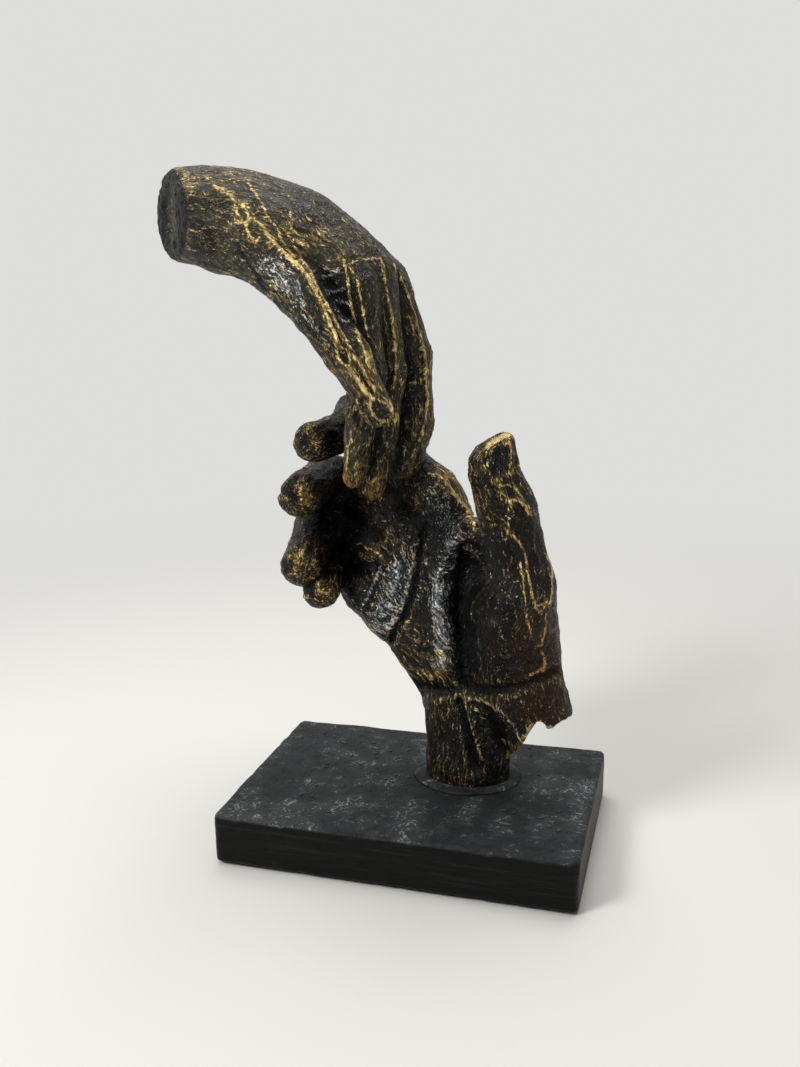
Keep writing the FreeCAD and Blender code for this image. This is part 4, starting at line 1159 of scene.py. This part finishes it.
# runs the tree on a start mesh and keeps what comes out as a plain piece
def grown(name, tree, inputs, corners, faces):
    mesh = bpy.data.meshes.new(name + "_start")
    mesh.from_pydata(corners, [], faces)
    holder = bpy.data.objects.new(name + "_start", mesh)
    bpy.context.scene.collection.objects.link(holder)
    modifier = holder.modifiers.new("growth", "NODES")
    modifier.node_group = tree
    for item in tree.interface.items_tree:
        if item.in_out == "INPUT" and item.name in inputs:
            modifier[item.identifier] = inputs[item.name]
    bpy.context.view_layer.update()
    result = bpy.data.meshes.new_from_object(holder.evaluated_get(bpy.context.evaluated_depsgraph_get()))
    holder.modifiers.remove(modifier)
    bpy.data.objects.remove(holder)
    result.name = name
    piece = bpy.data.objects.new(name, result)
    bpy.context.scene.collection.objects.link(piece)
    print(name, len(result.vertices), "corners", len(result.polygons), "faces")
    return piece


# Bead of filler run round the wrist's foot and wiped down with a finger: a low, uneven swell
beadPath = {
    "Half Width": 19.8 * mm, "Half Depth": 15.8 * mm, "Roll": 4.0 * mm, "Flatness": 0.30,
    "Waver": 1.8 * mm, "Waver Size": 11 * mm, "Lumps": 1.2 * mm, "Lump Size": 4.5 * mm,
    "Middle": (foot[0], foot[1], foot[2]),
}


def beadTree(inputs, material):
    tree, given = newGrowth("foot bead", inputs)
    circle = addNode(tree, "GeometryNodeCurvePrimitiveCircle", {"Resolution": 150, "Radius": 1.0})
    size = addNode(tree, "ShaderNodeCombineXYZ", {"X": given["Half Width"], "Y": given["Half Depth"],
                                                  "Z": 1.0})
    path = addNode(tree, "GeometryNodeTransform", {"Geometry": circle, "Scale": size,
                                                   "Translation": given["Middle"]})
    place = addNode(tree, "GeometryNodeInputPosition")
    fineness = {key: addNode(tree, "ShaderNodeMath", {0: 1.0, 1: given[key]}, operation="DIVIDE")
                for key in ("Waver Size", "Lump Size")}
    waver = addNode(tree, "ShaderNodeTexNoise", {"Vector": place, "Scale": fineness["Waver Size"],
                                                 "Detail": 1.0}, "Color")
    waver = addNode(tree, "ShaderNodeVectorMath", {0: waver, 1: (0.5, 0.5, 0.5)}, operation="SUBTRACT")
    waver = addNode(tree, "ShaderNodeVectorMath", {0: waver, 3: given["Waver"]}, operation="SCALE")
    path = addNode(tree, "GeometryNodeSetPosition", {"Geometry": path, "Offset": waver})
    profile = addNode(tree, "GeometryNodeCurvePrimitiveCircle", {"Resolution": 12, "Radius": given["Roll"]})
    roll = addNode(tree, "GeometryNodeCurveToMesh", {"Curve": path, "Profile Curve": profile})
    lumps = addNode(tree, "ShaderNodeTexNoise", {"Vector": place, "Scale": fineness["Lump Size"],
                                                 "Detail": 3.0})
    lumps = addNode(tree, "ShaderNodeMath", {0: lumps, 1: 0.5}, operation="SUBTRACT")
    lumps = addNode(tree, "ShaderNodeMath", {0: lumps, 1: given["Lumps"]}, operation="MULTIPLY")
    outward = addNode(tree, "GeometryNodeInputNormal")
    outward = addNode(tree, "ShaderNodeVectorMath", {0: outward, 3: lumps}, operation="SCALE")
    roll = addNode(tree, "GeometryNodeSetPosition", {"Geometry": roll, "Offset": outward})

    # pressed flat towards the plinth
    drop = addNode(tree, "ShaderNodeVectorMath", {0: place, 1: given["Middle"]}, operation="SUBTRACT")
    drop = addNode(tree, "ShaderNodeVectorMath", {0: drop, 1: (0.0, 0.0, -1.0)}, operation="MULTIPLY")
    squeeze = addNode(tree, "ShaderNodeMath", {0: 1.0, 1: given["Flatness"]}, operation="SUBTRACT")
    drop = addNode(tree, "ShaderNodeVectorMath", {0: drop, 3: squeeze}, operation="SCALE")
    roll = addNode(tree, "GeometryNodeSetPosition", {"Geometry": roll, "Offset": drop})
    return finishGrowth(tree, roll, material)


beadLook = dict(plinthLook, charcoal="#262829", patch=(9 * mm, 4.0, 0.6, 0.0))
beadMaterial = plinthMaterial("charcoal paint on filler", beadLook)
bead = grown("foot_bead_roll", beadTree(beadPath, beadMaterial), beadPath, [(0, 0, 0)], [])
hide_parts("foot_bead")
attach(bead, "root")

# Blisters and crumbs that set hard in the plinth's paint
blisters = {
    "Count Per Area": 42000.0,     # for each square metre
    "Crowd Size": 26 * mm, "Crowd From": 0.45, "Crowd To": 0.7,
    "Least": 0.25 * mm, "Most": 0.9 * mm, "Height Share": 0.45, "Seed": 12,
    "Least Stretch": 0.8, "Most Stretch": 2.2, "Stretch Seed": 5, "Turn Seed": 9,
}


def blisterTree(inputs, material):
    tree, given = newGrowth("paint blisters", inputs)
    place = addNode(tree, "GeometryNodeInputPosition")
    crowd = addNode(tree, "ShaderNodeMath", {0: 1.0, 1: given["Crowd Size"]}, operation="DIVIDE")
    crowd = addNode(tree, "ShaderNodeTexNoise", {"Vector": place, "Scale": crowd, "Detail": 2.0})
    crowd = addNode(tree, "ShaderNodeMapRange", {"Value": crowd, "From Min": given["Crowd From"],
                                                 "From Max": given["Crowd To"]})
    crowd = addNode(tree, "ShaderNodeMath", {0: crowd, 1: given["Count Per Area"]}, operation="MULTIPLY")
    spots = addNode(tree, "GeometryNodeDistributePointsOnFaces", {"Mesh": given["Geometry"], "Density": crowd,
                                                                  "Seed": given["Seed"]})
    size = addNode(tree, "FunctionNodeRandomValue", {2: given["Least"], 3: given["Most"],
                                                     "Seed": given["Seed"]}, 1)
    flat = addNode(tree, "ShaderNodeMath", {0: size, 1: given["Height Share"]}, operation="MULTIPLY")
    length = addNode(tree, "FunctionNodeRandomValue", {2: given["Least Stretch"], 3: given["Most Stretch"],
                                                       "Seed": given["Stretch Seed"]}, 1)
    length = addNode(tree, "ShaderNodeMath", {0: length, 1: size}, operation="MULTIPLY")
    sizes = addNode(tree, "ShaderNodeCombineXYZ", {"X": length, "Y": size, "Z": flat})
    turn = addNode(tree, "FunctionNodeRandomValue", {2: 0.0, 3: math.pi, "Seed": given["Turn Seed"]}, 1)
    turn = addNode(tree, "ShaderNodeCombineXYZ", {"Z": turn})
    dome = addNode(tree, "GeometryNodeMeshIcoSphere", {"Radius": 1.0, "Subdivisions": 2})
    domes = addNode(tree, "GeometryNodeInstanceOnPoints", {"Points": spots, "Instance": dome, "Scale": sizes,
                                                           "Rotation": turn})
    return finishGrowth(tree, domes, material)


# the top face round the foot, as the sheet on which the blisters are spread
def blisterSheet():
    low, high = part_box("plinth")
    inset = 3 * mm
    outer = [(low.x + inset, low.y + inset), (high.x - inset, low.y + inset),
             (high.x - inset, high.y - inset), (low.x + inset, high.y - inset)]
    halfX, halfY = (half + 4 * mm for half in lowerHand["limbs"]["wrist"]["half"])
    inner = [(foot[0] + sx * halfX, foot[1] + sy * halfY) for sx, sy in ((-1, -1), (1, -1), (1, 1), (-1, 1))]
    corners = [(px, py, high.z) for px, py in outer + inner]
    return corners, [(n, (n + 1) % 4, 4 + (n + 1) % 4, 4 + n) for n in range(4)]


# the blisters' tops are paler than the plinth's: painted glints of light along with their chalk; their sides
# stay darker as painted shade
blisterLook = dict(plinthLook, charcoal="#454849", side="#1c1d1e")
blisterMaterial = plinthMaterial("chalky paint and painted glints on blisters", blisterLook)
crumbs = grown("plinth_blisters", blisterTree(blisters, blisterMaterial), blisters, *blisterSheet())
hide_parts("plinth")
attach(crumbs, "root")
print("plinth, bead and blisters made")


# Plain studio: a pale floor that keeps the object's shadow near it and runs out into the same pale
# background on every side
studio = {
    "floor": "#e4e2dd", "background": "#eeeeec", "level": 0.85, "roomLight": 0.10,
    "floorRadius": 6.0, "floorSides": 96, "fadeFrom": 0.16, "fadeTo": 0.75,
    # lamps: place, size and watts; all of them look at the middle of the object
    "lamps": {"overhead": ((-0.05, 0.25, 1.15), 0.9, 11.0), "soft key": ((-0.50, -0.60, 0.75), 0.3, 6.5),
              "soft fill": ((0.9, -0.6, 0.45), 0.7, 0.8)},
    "lookAt": (0.0, 0.0, 0.14),
}


# 1 for the rays that show the background itself: straight ones and those that metal or glass sends on
def backgroundRays(tree):
    rays = tree.nodes.new("ShaderNodeLightPath").outputs
    most = addNode(tree, "ShaderNodeMath", {0: rays["Is Camera Ray"], 1: rays["Is Glossy Ray"]},
                   operation="MAXIMUM")
    return addNode(tree, "ShaderNodeMath", {0: most, 1: rays["Is Transmission Ray"]}, operation="MAXIMUM")


def makeFloor(look):
    mesh = bpy.data.meshes.new("floor")
    turns = np.arange(look["floorSides"]) * 2 * math.pi / look["floorSides"]
    rim = look["floorRadius"] * np.stack((np.cos(turns), np.sin(turns), turns * 0.0), 1)
    mesh.from_pydata(rim.tolist(), [], [tuple(range(look["floorSides"]))])
    material, tree, shader = newMaterial("pale floor")
    fillInputs(tree, shader, {"Base Color": colour(look["floor"]), "Roughness": 0.7})
    place = addNode(tree, "ShaderNodeTexCoord", None, "Object")
    away = addNode(tree, "ShaderNodeVectorMath", {0: place}, "Value", operation="LENGTH")
    fade = addNode(tree, "ShaderNodeMapRange", {
        "Value": away, "From Min": look["fadeFrom"], "From Max": look["fadeTo"]},
        interpolation_type="SMOOTHSTEP")
    fade = addNode(tree, "ShaderNodeMath", {0: fade, 1: backgroundRays(tree)}, operation="MULTIPLY")
    plain = addNode(tree, "ShaderNodeEmission", {"Color": colour(look["background"]),
                                                 "Strength": look["level"]})
    both = addNode(tree, "ShaderNodeMixShader", {0: fade, 1: shader.outputs[0], 2: plain})
    fillInputs(tree, tree.nodes["Material Output"], {"Surface": both})
    mesh.materials.append(material)
    floor = bpy.data.objects.new("floor", mesh)
    bpy.context.scene.collection.objects.link(floor)


def addLamp(name, place, size, watts):
    lamp = bpy.data.lights.new(name, "AREA")
    lamp.shape = "SQUARE"
    lamp.size = size
    lamp.energy = watts
    holder = bpy.data.objects.new(name, lamp)
    holder.location = place
    holder.rotation_euler = (Vector(studio["lookAt"]) - Vector(place)).to_track_quat("-Z", "Y").to_euler()
    bpy.context.scene.collection.objects.link(holder)


def addCamera():
    right, up, ahead = viewAxes()
    lens = bpy.data.cameras.new("camera")
    lens.sensor_width = view["sensor"]
    lens.lens = view["focal"] * view["sensor"] / view["height"]
    lens.clip_start = 0.01
    camera = bpy.data.objects.new("camera", lens)
    turn = Matrix((right, up, -ahead)).transposed()
    camera.matrix_world = Matrix.Translation(Vector(view["place"])) @ turn.to_4x4()
    bpy.context.scene.collection.objects.link(camera)
    bpy.context.scene.camera = camera


makeFloor(studio)
for lampName, lampValues in studio["lamps"].items():
    addLamp(lampName, *lampValues)

# the room gives little light of its own, but it is seen as pale as the floor
world = bpy.data.worlds.new("studio")
world.use_nodes = True
room = world.node_tree
strength = addNode(room, "ShaderNodeMapRange", {"Value": backgroundRays(room), "To Min": studio["roomLight"],
                                                "To Max": studio["level"]})
fillInputs(room, room.nodes["Background"], {"Color": colour(studio["background"]), "Strength": strength})
bpy.context.scene.world = world
bpy.context.scene.view_settings.view_transform = "Standard"
addCamera()
print("stage, lamps and camera set")
